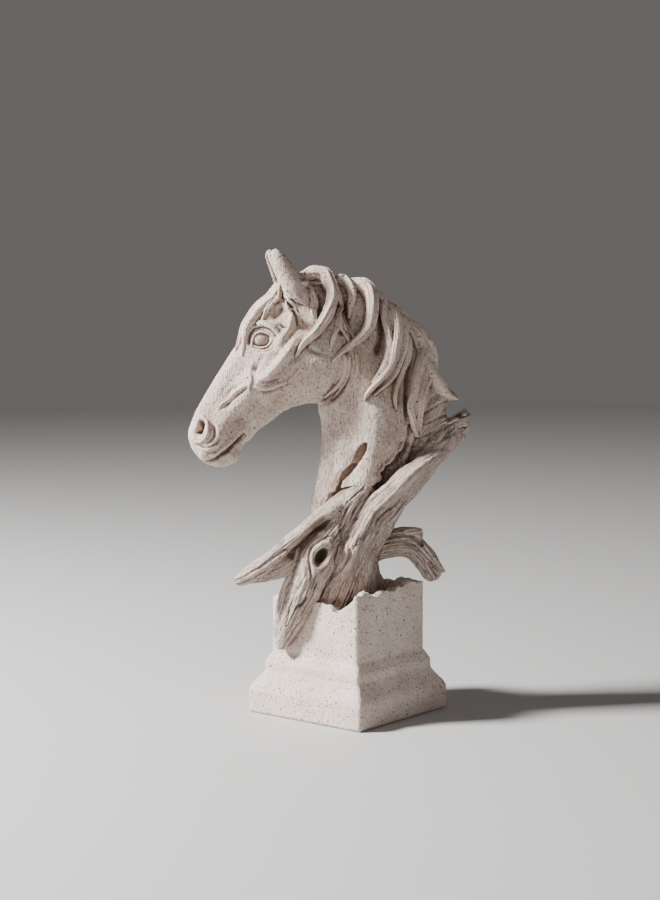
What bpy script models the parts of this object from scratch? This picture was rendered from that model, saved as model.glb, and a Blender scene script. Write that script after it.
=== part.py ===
"""A horse's head and neck rising from driftwood on a moulded plinth, cast as one. Metres, +Z up.

The horse faces -X, and the side with the parted mane and the knot in the wood is -Y.
"""
import math

import bmesh
import bpy
import numpy as np
from mathutils import Vector
from mathutils.bvhtree import BVHTree

for old in list(bpy.data.objects):
    bpy.data.objects.remove(old)

NODE = "horse_head_sculpture"

# The plinth, in metres

FOOT_SIDE = 0.118        # across the flats of the square foot
FOOT_HEIGHT = 0.0195
SLOPE_HEIGHT = 0.0155    # of the sloped moulding above the foot
BAND_SIDE = 0.099        # across the flats of the band over the slope
BAND_HEIGHT = 0.007
COVE_HEIGHT = 0.0085     # of the hollow moulding between the band and the block
BLOCK_SIDE = 0.090       # across the flats of the block
BLOCK_HEIGHT = 0.0545    # from the cove to the level that the broken top is measured from
EDGE_ROUND = 0.0016      # bevel on the plinth's edges

# The figure, from the plinth's top to the ears' points

FIGURE_HEIGHT = 0.275

# The figure's tables are shares of its height: U is a 275th of it. Their heights count from the foot of a
# plinth whose top is at TOP, and their middle line is the plinth's.

U = FIGURE_HEIGHT / 275
TOP = 105
BLOCK_UNITS = 90         # the block's side and height that the tables were drawn over
BLOCK_RISE = 54.5

NEAR = -1                # the side with the parted mane
CELL = 1.1               # cell of the remeshes that join the forms, in the tables' units
TRIANGLES = 8700         # of the figure, before it joins the plinth

EAR_TIP = 380.5        # height of the ears' points

# Head and neck. Each station: top x, z, bottom x, z, half-widths near the top, at the middle, at the bottom.

HEAD = [
    (-16, 349, 8, 290, 13, 20, 18),
    (-38, 349, -6, 267, 14, 22, 21),
    (-58, 343, -22, 254.5, 17, 25, 22),
    (-73, 333, -38, 253, 20, 27, 21),
    (-84, 317.5, -52, 248, 19, 26, 18),
    (-93.5, 301, -65, 238, 16, 21.5, 15),
    (-104, 285, -76, 229.5, 13, 17.5, 12.5),
    (-113, 270.5, -86, 222, 11.5, 15, 11),
    (-121, 257, -89, 212, 11, 15, 12),
    (-127.5, 244, -94, 207, 11.5, 16, 12.5),
    (-131.3, 232, -104, 203.5, 11, 15, 11.5),
    (-129.5, 221, -112, 205, 9, 12, 9),
    (-125, 213.5, -117.5, 206.5, 4, 6, 4),
]

NECK = [
    (-34, 352, -46, 285, 9, 14, 12),
    (-6, 354.5, -30, 258, 10, 18, 16),
    (21, 342, -24, 246, 11, 20, 17),
    (44, 323, -22, 234, 14, 22.5, 18),
    (57, 298, -22.5, 218, 18, 26, 18.5),
    (62.5, 269, -25, 202, 22, 28, 19.5),
    (60, 240, -28, 186, 24.5, 28.5, 20),
    (50, 208, -31, 172, 25.5, 28.5, 19.5),
    (40, 184, -31, 160, 23, 26, 18),
    (31, 164, -29, 141, 12, 18, 13),
]

# The neck's ragged lower edge in the side view, and the tear above it

NECK_EDGE = [(-60, 150), (-35, 166.5), (-26, 175.5), (-16.3, 182.5), (-7, 187), (2.3, 189.4),
             (8.4, 188.6), (11.5, 187.6),
             (14.6, 189.8), (18.6, 189.6), (20.6, 192.2), (23.4, 192.4), (25, 196.2), (23, 199.6),
             (26.2, 202.4),
             (27.7, 205.6), (32, 207.2), (35.9, 211.6), (38.4, 215.8), (42, 217.8), (44.2, 223.4),
             (45.8, 228.8),
             (46.6, 238.9), (90, 244)]
FAR_EDGE = [(-60, 146), (-36, 152), (-24, 147), (-12, 152), (-2, 159), (8, 157), (20, 169), (30, 177),
            (40, 191),
            (47, 206), (50, 225), (47.5, 240), (90, 244)]
TEAR = [(13.8, 224.6), (10.6, 225.6), (6.9, 222.9), (4.4, 218), (2.6, 213.4), (0.2, 207.5), (-3.4, 203.6),
        (-6.6, 200.4),
        (-8.6, 196.4), (-9.9, 190), (-12.4, 184), (-9, 182), (-7.4, 188.3), (-6.2, 192.4), (-2.9, 195.4),
        (1.9, 201.2),
        (5.9, 207.3), (8.9, 211.3), (12.6, 218.4)]

# The eye and its lids in the side view

EYE = (-72.3, 308.0)
UPPER_LID = [(-80.2, 302.6), (-79.4, 308.6), (-76.8, 312.8), (-72.7, 314.4), (-68.3, 313.3),
             (-65.2, 311.3), (-62.4, 308.4)]
LOWER_LID = [(-79.2, 303.2), (-76.6, 302.2), (-73.1, 301.6), (-69.5, 302.1), (-66.6, 304), (-64.4, 306.6),
             (-63.4, 309.2)]

# Driftwood. Each limb: how round its section is (2 is an ellipse, less has a ridge), and its stations:
# x, y, z, its half-width seen from the side, its half-depth.

LIMBS = {
    "trunk": (2.0, [(5, -2, 78, 21, 24), (5, -3, 96, 19, 22), (4, -5, 112, 18, 21), (6, -7, 135, 19, 21),
                    (17, -9, 154, 18, 21), (33.5, -10, 173.5, 12.5, 20), (51.5, -9, 193.5, 11, 17),
                    (67.5, -6, 211, 11, 14), (82, -3, 230, 11.5, 10)]),
    "shoulder": (2.2, [(-22, 0, 168, 6, 12), (-12, 0, 164, 11, 16), (6, 0, 162, 15, 18),
                       (28, 0, 174, 13, 17),
                       (44, 0, 192, 9, 14)]),
    "far brace": (1.8, [(-20, 18, 188, 3, 4), (-17, 21, 176, 6, 6), (-14, 22.5, 160, 9, 8),
                        (-8, 22, 142, 10, 9),
                        (0, 21, 122, 10, 9), (6, 20, 102, 10, 9), (10, 19, 84, 10, 9)]),
    "ridge": (1.7, [(-4, -24, 138, 8, 9), (6, -27, 156, 8.5, 10), (18, -28.5, 172, 9, 11),
                    (31, -29, 183.5, 9, 11),
                    (42, -28, 194, 8.5, 10.5), (53, -25, 202.5, 7.5, 9.5), (64, -19, 209, 6.5, 8),
                    (76, -11, 216, 5, 6)]),
    "bridge": (2.4, [(14, -20, 190, 5, 7), (6, -23, 183, 8, 8.5), (-2, -25, 174, 9.5, 8.5),
                     (-8, -26, 163, 9.5, 8),
                     (-12, -26, 151, 8.5, 7.5), (-15, -24, 140, 6, 6)]),
    "fan high": (2.2, [(27, -27, 184, 5, 8), (18, -29.5, 172, 7, 9.5), (9, -30.5, 157, 8, 10),
                       (1, -29.5, 141, 8.5, 10),
                       (-6, -27.5, 126, 8, 9), (-12, -24, 110, 7, 7)]),
    "prong": (1.8, [(12, -12, 189, 4, 6), (3, -16, 183.5, 6, 8.5), (-7, -20.5, 177, 7, 10.5),
                    (-19, -25.5, 169.5, 6.5, 10),
                    (-30.9, -28.5, 161.6, 5.4, 8.5), (-43.9, -29, 150.9, 5.6, 8.5),
                    (-56.2, -28, 138.7, 6.4, 8.5),
                    (-68.9, -27, 128, 7, 8.2), (-80, -25.5, 119.8, 7.2, 7.5), (-89, -24.5, 115, 6, 6),
                    (-93.5, -24, 113, 4, 4)]),
    "prong web": (2.2, [(-14, -21, 162, 8, 8), (-24, -21, 156, 10, 7.5), (-36, -21.5, 146, 12, 7.5),
                        (-48, -22, 135, 13, 8),
                        (-58, -23.5, 126.5, 11.5, 8), (-70, -23.5, 121, 8.5, 7),
                        (-82, -23.5, 116, 5.5, 5.5),
                        (-90, -24, 112.5, 3, 4)]),
    "crotch": (2.2, [(16, -15, 186, 6, 9), (7, -18, 177, 9, 11), (-2, -19, 167, 12, 12),
                     (-10, -17, 158, 13, 11),
                     (-20, -15.5, 146, 14, 10), (-28, -16, 132, 13, 10)]),
    "skirt": (2.4, [(16, -14, 172, 12, 12), (12, -18, 156, 15, 12), (4, -19, 138, 18, 12),
                    (-4, -19, 120, 19, 12),
                    (-12, -18, 102, 19, 12), (-18, -16, 84, 19, 12)]),
    "fan": (2.2, [(24, -24, 180, 7, 8), (16, -26, 167, 10, 9), (6, -26, 150, 13, 9), (-2, -25, 134, 14, 9),
                  (-8, -23, 118, 12, 8), (-14, -20, 104, 10, 6)]),
    "far skirt": (2.4, [(4, 10, 164, 12, 12), (4, 13, 148, 15, 12), (0, 14, 130, 17, 12),
                        (-2, 14, 112, 18, 12),
                        (-2, 14, 94, 19, 12), (-2, 14, 80, 19, 12)]),
    "knot": (1.8, [(6, -15, 176, 8, 11), (-6, -21, 163, 8, 11), (-15.5, -25.5, 151, 9, 11),
                   (-24.5, -28.5, 139, 13, 12),
                   (-31, -29, 124, 14, 12), (-38.5, -28, 105, 13, 11), (-45, -24.5, 87, 11, 10),
                   (-51.5, -19.5, 71, 8.5, 8.5), (-57.5, -15, 58, 5, 6.5)]),
    "knot side": (1.9, [(-32, -22, 142, 5.5, 8), (-38.5, -22, 129, 6.5, 8), (-46, -21, 113.5, 7.5, 8),
                        (-52.5, -18, 98.5, 7, 7.5), (-56.5, -14, 82.5, 6.2, 7), (-59, -11, 66, 4.5, 6)]),
    "arch": (2.2, [(6, -2, 130, 12, 14), (19.7, -2, 135.5, 12, 12), (30.5, -1, 138.5, 12, 11.5),
                   (42, 0, 139, 11.5, 11),
                   (52, 1, 136.5, 11.5, 10.5), (59.5, 1, 129.5, 10.2, 10), (65.8, 1, 121.5, 9.6, 9.5),
                   (69.6, 1, 114.5, 9.2, 9), (70.6, 1, 111.5, 8.2, 8)]),
    "stub": (1.8, [(28, -2, 141, 7, 9), (42, -2, 144.5, 7.5, 9), (52, -2, 145.5, 7.2, 8.5),
                   (57.5, -2, 145, 7, 8)]),
    "stub back": (1.5, [(46, -6, 147, 5, 5), (54, -6, 149, 4, 4.5), (59.5, -6, 149.5, 2.5, 3)]),
    "arch splinter": (1.6, [(60, -6, 137, 4, 4.5), (68, -6, 128, 3.5, 4), (75, -5, 119.5, 3, 3.5),
                            (79.5, -5, 115, 1.5, 1.5)]),
    "arch back splinter": (1.6, [(58, 8, 134, 4, 4), (65, 9, 124, 3.5, 4), (70, 9, 114, 2.5, 2.5)]),
    "buttress": (2.0, [(27, 4, 96, 9, 12), (19, 2, 112, 8, 12), (15, 0, 128, 9, 12)]),
    "front root": (1.8, [(14, -20, 138, 8, 8), (10, -22, 120, 8, 8), (7, -23, 104, 8.5, 8),
                         (6, -24, 88, 9, 8)]),
    "back root": (2.0, [(18, 20, 196, 3, 4), (13, 23, 184, 7, 6), (5, 24, 166, 11, 8),
                        (-4, 23.5, 146, 12, 9),
                        (-12, 24, 126, 11.5, 9), (-17, 26, 106, 11, 9), (-19, 28, 90, 11, 8)]),
    "far root": (1.8, [(46, 17, 214, 3, 4), (42, 19, 204, 6.5, 7), (33, 20, 186, 10, 9),
                       (25, 19, 164, 11, 11),
                       (19.5, 18.5, 140, 10, 11), (15.5, 18, 114, 10, 10), (18, 19, 92, 12, 9)]),
    "slab rib": (2.0, [(56, -3, 228, 11, 11), (66, -3, 244, 12, 10), (74, -3, 260, 10, 8),
                       (80, -2, 266, 6, 5)]),
}

SLAB = [(62, 288), (73.3, 281), (80, 270), (90.9, 258.6), (80.9, 256.5), (79.3, 249.9), (81.8, 241.8),
        (89.3, 246.4),
        (96, 250.6), (101.1, 244.8), (99.4, 239.6), (100.4, 234.2), (97, 229.4), (96.4, 224.6),
        (91, 221.8), (87.8, 216.4), (83, 213.6),
        (80.6, 207.6), (74.4, 203.6), (72.8, 198.8), (66.4, 195.8), (61.6, 188.4), (55.8, 184.2),
        (49.6, 176.3), (36.3, 154),
        (26, 160), (34, 190), (44, 214), (48, 240), (50, 262), (54, 280)]

# Locks laid on one side. Each row: side-view x, z, half-width, thickness, lift.

NEAR_LOCKS = {
    "poll": [(-44, 358, 4, 5, 0), (-35.5, 359.5, 5, 5.5, 0.5), (-26.5, 360, 5.5, 6, 1.5),
             (-19, 355, 5.5, 8, 4.5),
             (-15, 346, 5.5, 8, 5), (-15, 336.5, 5.5, 8, 5), (-17.5, 327, 5.2, 8, 5),
             (-22.5, 319, 4.8, 7.5, 4.5),
             (-29.5, 311.5, 4, 6.5, 4), (-37, 305.5, 3, 5, 3), (-42, 299.5, 2, 3.5, 2),
             (-44.5, 294, 1, 2, 1)],
    "poll inner": [(-41, 354, 3, 4, 1), (-34.5, 349.5, 3.5, 5, 1.5), (-31.5, 339.5, 3.5, 5, 1.5),
                   (-30, 330, 3, 5, 1.5), (-28, 321.5, 2, 4, 1), (-25.5, 315.5, 1, 2, 0.5)],
    "second": [(-13, 356.5, 3, 4.5, 1), (-5.5, 354, 4, 5.5, 2), (0, 349, 4, 6, 2.5),
               (2.5, 341.5, 3.5, 6, 2.5),
               (2, 333.5, 2.5, 4.5, 1.5), (0, 325, 1, 2.5, 0.5)],
    "second fine": [(-10.5, 351, 2, 4, 0.5), (-8.5, 339.5, 2, 4, 0.5), (-8.5, 327.5, 2, 3.5, 0.5),
                    (-6.5, 315.5, 1.5, 3, 0.5), (-0.5, 304.5, 1, 2, 0)],
    "under": [(-11, 325.5, 2, 4.5, 0.5), (-13, 315.5, 2, 4.5, 0.5), (-15.5, 307, 2, 3.5, 0.5),
              (-17.5, 299.5, 1, 2, 0)],
    "under two": [(-4.5, 330, 1.5, 3, 0), (-3, 320.5, 1.5, 3, 0), (1, 311, 1.5, 2.5, 0),
                  (6.5, 303.5, 0.6, 1.5, 0)],
    "third": [(-1.5, 355, 3.5, 4.5, 1.5), (6.5, 351.5, 5, 6, 3), (13, 345.5, 5.5, 8, 4.5),
              (17, 336.5, 5.5, 8.5, 5.5),
              (17, 327, 5.4, 8.5, 5.5), (14.5, 317, 5, 8, 5), (8.5, 309, 4.2, 7, 4.5), (1, 304, 3.4, 6, 4),
              (-6.5, 300, 2.5, 5, 3), (-12, 295.5, 1.6, 3.5, 2), (-16, 290.5, 0.9, 2, 1)],
    "throat one": [(-7, 298, 1.7, 3, 0), (-5, 288.5, 2, 3, 0), (-7.5, 277, 2, 3, 0),
                   (-13.5, 268, 1.6, 3, 0),
                   (-21, 261, 0.9, 2, 0)],
    "throat two": [(-2, 298.5, 1.6, 3, 0), (0, 288, 1.7, 3, 0), (-2, 278, 1.7, 3, 0),
                   (-7, 268, 1.4, 2.5, 0),
                   (-13.5, 260, 0.7, 2, 0)],
    "throat three": [(3.5, 299.5, 1.5, 2.5, 0), (5, 289, 1.6, 2.5, 0), (3.5, 278.5, 1.5, 2, 0),
                     (-1.5, 269, 0.7, 1.5, 0)],
    "fourth base": [(28, 338, 5, 4, 0), (33, 329, 7, 5, 1), (36.5, 317, 8, 5.5, 2),
                    (36.5, 305, 8, 5.5, 2.5),
                    (34, 293.5, 7, 5.5, 2.5), (29.5, 283.5, 5.5, 5, 2.5), (23, 275, 4, 4.5, 2),
                    (17, 268, 2, 3, 1)],
    "fourth left": [(15.5, 347, 3, 4.5, 1.5), (23.5, 341, 4, 6, 2.5), (30, 331.5, 4, 7, 4),
                    (32, 320.5, 3.7, 7, 4.5),
                    (32, 309, 3.6, 7, 4.5), (30, 298, 3.4, 6.5, 4.5), (26.5, 288, 3, 6, 4),
                    (22, 280, 2.3, 5, 3),
                    (16.5, 273, 1.1, 3, 1.5)],
    "fourth": [(27, 339.5, 3.2, 4.5, 1.5), (34, 331, 4, 6.5, 3), (37, 319.5, 4.1, 7.5, 4.5),
               (37, 307.5, 4, 8, 5),
               (34.5, 296, 3.8, 8, 5.5), (30.5, 285.5, 3.5, 7.5, 5.5), (24, 277, 3, 7, 5),
               (17.5, 269.5, 2.6, 6, 4),
               (13, 264.5, 2, 5, 3), (11, 259, 0.9, 2.5, 1.5)],
    "fourth right": [(36, 331, 3.2, 4.5, 1.5), (41.5, 320.5, 3.7, 6, 3), (43, 309, 3.7, 6.5, 3.5),
                     (41.5, 297, 3.6, 6.5, 3.5), (37.5, 286.5, 3.2, 6, 3.5), (32, 277, 2.7, 5.5, 3),
                     (25, 269.5, 2, 4.5, 2.5), (18, 263, 1, 3, 1.5)],
    "fifth": [(44, 315.5, 2.7, 4.5, 1.5), (46.5, 304, 2.7, 5, 2), (45.5, 292, 2.6, 5, 2),
              (41, 281, 2.4, 4.5, 2),
              (36.5, 271, 2, 4, 2), (34.5, 261.5, 1.6, 4, 2), (35.5, 251.5, 0.8, 2.5, 1)],
    "back base": [(52, 318, 4, 4, 0), (58, 308, 6.5, 4.5, 1), (60.5, 296, 8, 5, 2), (59.5, 283, 8, 5, 2.5),
                  (56.5, 270, 7.5, 5, 2.5), (54.5, 257, 6.5, 5, 2.5), (53, 244, 4.5, 4.5, 2),
                  (53, 233, 2, 3, 1)],
    "seventh": [(48, 322, 3.2, 4.5, 1.5), (54, 312.5, 3.6, 5.5, 3), (56.5, 301, 3.4, 6.5, 4),
                (54.5, 289.5, 3.2, 6.5, 4.5),
                (51.5, 276.5, 3.2, 6.5, 4.5), (50, 264, 3.2, 6.5, 4.5), (49, 251, 2.9, 6.5, 4.5),
                (50, 239.5, 2.4, 5.5, 4),
                (53, 229, 1, 3, 2)],
    "eighth": [(55.5, 313, 3.2, 4.5, 1.5), (61.5, 302.5, 3.8, 6, 3), (63.5, 291, 3.8, 6.5, 4),
               (61.5, 280, 3.6, 6.5, 4),
               (57.5, 269.5, 3.3, 6, 4), (55.5, 259, 2.9, 6, 3.5), (54.5, 249, 2.4, 5, 3),
               (54.5, 239.5, 1.7, 4, 2.5),
               (55, 231, 0.8, 2.5, 1.5)],
    "ninth": [(62, 303.5, 2.7, 4.5, 1.5), (66, 293, 3.2, 5.5, 2), (66, 282.5, 3.2, 5.5, 2.5),
              (64, 272.5, 3, 5, 2.5),
              (61, 263.5, 2.4, 4.5, 2), (59, 255.5, 1.8, 4, 2), (58, 246.5, 0.8, 2, 1)],
}

FAR_LOCKS = {
    "far poll": [(-41, 357, 6, 5, 2), (-30, 359.5, 6.5, 6, 3), (-18, 355, 6.5, 7, 4),
                 (-12, 343, 6.2, 7.5, 4),
                 (-13, 329, 5.8, 7.5, 4), (-20, 315, 5.2, 7, 4), (-30, 303, 3.4, 5, 2),
                 (-38, 295, 1.4, 3, 1)],
    "far second": [(-12, 354, 5.5, 5, 1.5), (0, 349, 6.5, 6.5, 3), (8, 337, 6.2, 7, 3.5),
                   (9, 322, 6, 7, 3.5),
                   (4, 307, 5, 6, 3), (-5, 294, 3.4, 5, 2), (-12, 285, 1.4, 3, 1)],
    "far third": [(8, 349, 6, 5, 1.5), (20, 340, 6.8, 6.5, 3), (27, 326, 6.8, 7, 4), (28, 309, 6.4, 7, 4),
                  (23, 292, 5.6, 7, 3.5), (14, 276, 3.8, 5, 2), (6, 264, 1.4, 3, 1)],
    "far fourth": [(28, 338, 6, 5, 1.5), (40, 325, 6.8, 6.5, 3), (46, 309, 6.8, 7, 4), (46, 291, 6.2, 7, 4),
                   (41, 273, 5.2, 6.5, 3), (33, 257, 3.2, 4.5, 1.5), (26, 246, 1.3, 3, 0.5)],
    "far fifth": [(45, 324, 6, 5, 1.5), (57, 308, 6.8, 6.5, 3), (62, 290, 6.8, 7, 3.5), (60, 271, 6, 7, 3),
                  (54, 253, 4.4, 5.5, 2), (48, 239, 1.5, 3, 1)],
}

# Forelock strands. Each row: x, y, z, half-width, thickness, lift, over the nearest skin.

FORELOCK = {
    "fore near": [(-52, -6, 350, 3.5, 4, 1), (-61, -9, 348, 3.8, 4, 1), (-72, -12, 342, 3.8, 4.5, 1),
                  (-81, -14, 333, 3.6, 4.5, 1), (-86, -15, 321, 3, 4, 0.8), (-88.5, -15, 308, 2.2, 3, 0.5),
                  (-89, -15, 295, 1, 1.6, 0)],
    "fore middle": [(-50, -1, 351, 3.5, 4, 1), (-62, -2, 349, 4, 4.5, 1), (-74, -4, 341, 4, 4.5, 1.2),
                    (-83, -6, 331, 3.8, 4.5, 1.2), (-89, -8, 319, 3, 4, 1), (-92.5, -8, 307, 1.8, 2.6, 0.5),
                    (-94, -8, 299, 0.8, 1.4, 0)],
    "fore temple": [(-56, -10, 350, 3, 3.5, 1), (-63.5, -13, 346.5, 2.8, 3.5, 0.8),
                    (-67, -16, 340.5, 2.5, 3.2, 0.7),
                    (-70.3, -17, 334.5, 2.1, 2.8, 0.5), (-72.5, -18, 328.5, 1, 1.6, 0.2)],
    "fore far": [(-50, 4, 351, 4, 4, 1), (-62, 6, 348, 4.4, 4.5, 1), (-74, 9, 340, 4.2, 4.5, 1.2),
                 (-83, 11, 329, 3.8, 4.5, 1), (-88, 12, 316, 2.8, 3.5, 0.6), (-90.5, 12, 303, 1.1, 1.8, 0)],
}

# The roll of hair along the crest, and the flick that stands out behind. Rows as for the forelock.

CREST = {
    "crest front": [(-45, 0, 360, 4, 2.5, 0), (-30, 0, 365, 7, 2.5, 0), (-14, 0, 362, 8, 2.5, 0),
                    (4, 0, 357, 8, 2.5, 0),
                    (20, 0, 350, 7, 2.5, 0), (34, 0, 340, 4, 2, 0)],
    "crest back": [(14, 0, 352, 4, 2, 0), (32, 0, 342, 8, 2.5, 0), (48, 0, 326, 9, 2.5, 0),
                   (60, 0, 308, 9, 2.5, 0),
                   (67, 0, 290, 8, 2.5, 0), (70, 0, 272, 6, 2.5, 0), (70, 0, 256, 3, 2, 0)],
}
FLICK = (2.0, [(57, -3, 302, 3, 5), (62, -5, 290, 5, 8), (68, -7, 278, 6, 8.5), (75, -8, 268.5, 6, 6.5),
               (81, -8, 262.5, 3.5, 4.5), (89.5, -7, 258.5, 1, 1.5)])

# Strokes: path (side-view x, z), radius, height, and more.

BROAD = [
    ([(-72, 308)], 13, -3.2),
    ([(-84, 308), (-81, 316), (-73, 320), (-64, 317), (-59, 311)], 6, 3.0),
    ([(-72.3, 308)], 7.6, -2.4, {"sharp": 0.5}),
    ([(-57.6, 335.4), (-57.4, 331.5), (-60.5, 327.6), (-64, 323.6)], 6.5, -2.3),
    ([(-58.5, 341.6), (-52.5, 334.9), (-48.5, 326.5), (-50, 320.4)], 3.4, 2.2, {"ends": 0.2}),
    ([(-48, 325)], 8, 2.6),
    ([(-46, 330), (-49, 320), (-55, 310), (-61, 303)], 5, 2.8),
    ([(-56, 303), (-66, 298), (-76, 299)], 4, 0.8),
    ([(-44, 311), (-50, 301), (-58, 291), (-68, 280.5), (-76, 273)], 5.5, 4.2),
    ([(-38, 307), (-46, 293), (-56, 281.5), (-67, 272.5)], 5, -3.0),
    ([(-60, 300), (-67, 290), (-76, 280)], 7, -1.8),
    ([(-84, 293), (-91, 280), (-99, 266), (-106, 255)], 9, -1.8),
    ([(-24, 288)], 32, 4.4),
    ([(-27, 288)], 20, 1.6),
    ([(-5, 302), (-2.5, 288), (-5, 275), (-12, 263), (-23, 254)], 4.8, -3.8),
    ([(-70, 262), (-80, 250), (-90, 241), (-98, 237)], 9, -3.6),
    ([(-50, 268), (-60, 258), (-72, 247)], 7, -1.6),
    ([(-26, 259), (-46, 254), (-62, 243), (-78, 230)], 6, 1.4),
    ([(-119, 235)], 11, 2.8),
    ([(-96, 211.5)], 8, 2.2),
    ([(-84, 224), (-87.5, 214)], 4, -1.4),
    ([(-5, 251), (-11, 235), (-14, 218), (-16, 194)], 9, -2.2),
    ([(30, 262), (18, 236), (8, 212)], 20, 1.2),
    ([(-6, 343), (-5, 328), (-8, 310)], 9, -7.0, {"side": -1}),
    ([(24, 340), (27, 325), (26, 308), (20, 294)], 6, -6.0, {"side": -1, "ends": 0.15}),
    ([(49, 319), (51, 300), (47, 280), (46, 262), (46, 240)], 4, -4.5, {"side": -1, "ends": 0.15}),
    ([(-27, 330), (-29, 345)], 6, -2.5, {"side": -1}),
    ([(45, 226), (38, 214), (26, 206), (22, 196)], 7, -3.0, {"side": -1, "ends": 0.1}),
]

FINE = [
    ([(-119.3, 243), (-121.8, 236.5), (-124.3, 230.5)], 3.8, -6.5, {"sharp": 0.7, "ends": 0.12}),
    ([(-121, 246), (-117, 242), (-116, 235), (-118.2, 228.2), (-122.5, 225),
      (-127, 226)], 2.2, 2.0, {"ends": 0.1}),
    ([(-113, 242), (-110.4, 235), (-111.8, 228.5), (-117.5, 222.8)], 2.2, -1.6),
    ([(-109.5, 241), (-107, 234), (-109, 226)], 2.6, 0.8),
    ([(-125.5, 223.6), (-118.5, 220.8), (-111, 222.8), (-104, 229)], 1.7, -1.6),
    ([(-124, 219), (-116, 216.2), (-108, 218.8), (-101, 225.5)], 1.7, -1.1),
    ([(-122, 214.6), (-114, 212.8), (-106, 215.6), (-99, 221)], 1.6, -0.8),
    ([(-86.5, 229.6), (-95, 222), (-101.9, 215.9), (-110.1, 210.3), (-117.4, 207.6),
      (-123, 206.5)], 2.3, -4.2,
     {"ends": 0.06}),
    ([(-86, 230)], 3.6, -2.4),
    ([(-92, 230), (-100, 223.5), (-108, 217), (-116, 212.5)], 3.2, 1.1),
    ([(-80.4, 294), (-80, 288), (-81.4, 281.5), (-80.6, 275.5), (-82.6, 269), (-81.3, 263)], 1.7, 1.5),
    ([(-81.8, 273), (-87.5, 269), (-93.1, 265.4), (-98.4, 259.2), (-104, 255.5), (-109, 249)], 1.9, 1.9),
    ([(-84, 270), (-90, 264.8), (-96.5, 259.5), (-103, 252)], 2.3, -1.9),
    ([(-84, 277), (-89, 273.2), (-96, 268), (-102, 261)], 2.2, -1.0),
    ([(-80, 270.6), (-71, 268.8), (-61, 271.4), (-52, 274.6), (-44, 281.5), (-39, 289)], 2.1, 1.8),
    ([(-78, 266.8), (-68, 265.2), (-57, 268.6), (-46, 274.5)], 1.9, -1.6),
    ([(-76.5, 276), (-68, 273.6), (-58, 277)], 1.6, -1.1),
    ([(-70, 297), (-75, 289), (-79, 281)], 3.6, -1.6),
    ([(-82, 303.5), (-82, 309.5), (-78.3, 315.6), (-72.7, 317.4), (-67.6, 316.2), (-63.6, 313.4),
      (-60.4, 309.4)], 1.5,
     -1.9, {"ends": 0.08}),
    ([(-83, 318.5), (-79.4, 320.2), (-75.4, 319.6)], 1.3, -1.3),
    ([(-84, 316), (-85.6, 311.2), (-85.2, 305.8), (-83, 301)], 2.2, 1.2),
    ([(-77, 321.5), (-69, 321), (-61.5, 316.5), (-57, 310.5)], 2.6, 0.9),
    ([(-63, 306), (-63.6, 302), (-68, 299.6), (-73, 299)], 1.3, -1.1),
    ([(-60, 304), (-55, 301.6), (-50, 302.6)], 1.4, -0.6),
    ([(-50.8, 318.6), (-54.4, 318.2), (-57, 320.4)], 1.5, -1.4),
    ([(-54.5, 341), (-52, 337.6), (-46.5, 332), (-43.6, 325), (-43.4, 318)], 1.9, -2.2, {"ends": 0.2}),
    ([(-51, 342.6), (-45, 336.4), (-41.4, 329)], 1.3, -0.8, {"ends": 0.2}),
    ([(-53.5, 347.6), (-51.2, 344.7), (-46.8, 341.6), (-40.3, 340.3)], 1.9, 1.1, {"ends": 0.2}),
    ([(-49.5, 340.6), (-43.5, 336.9), (-36, 334.6)], 1.6, -1.4),
    ([(-64.5, 339.6), (-68.8, 332.6), (-77.7, 322.1), (-83.4, 315.4), (-86.4, 307.3),
      (-87.8, 299.3)], 1.6, -1.6),
    ([(-39, 306), (-31, 299), (-21, 296)], 3.4, -1.4),
    ([(-6.5, 299), (-4, 288), (-6.5, 275), (-13.5, 264.5), (-23.5, 256.5)], 1.8, -2.2, {"ends": 0.1}),
]

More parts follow.
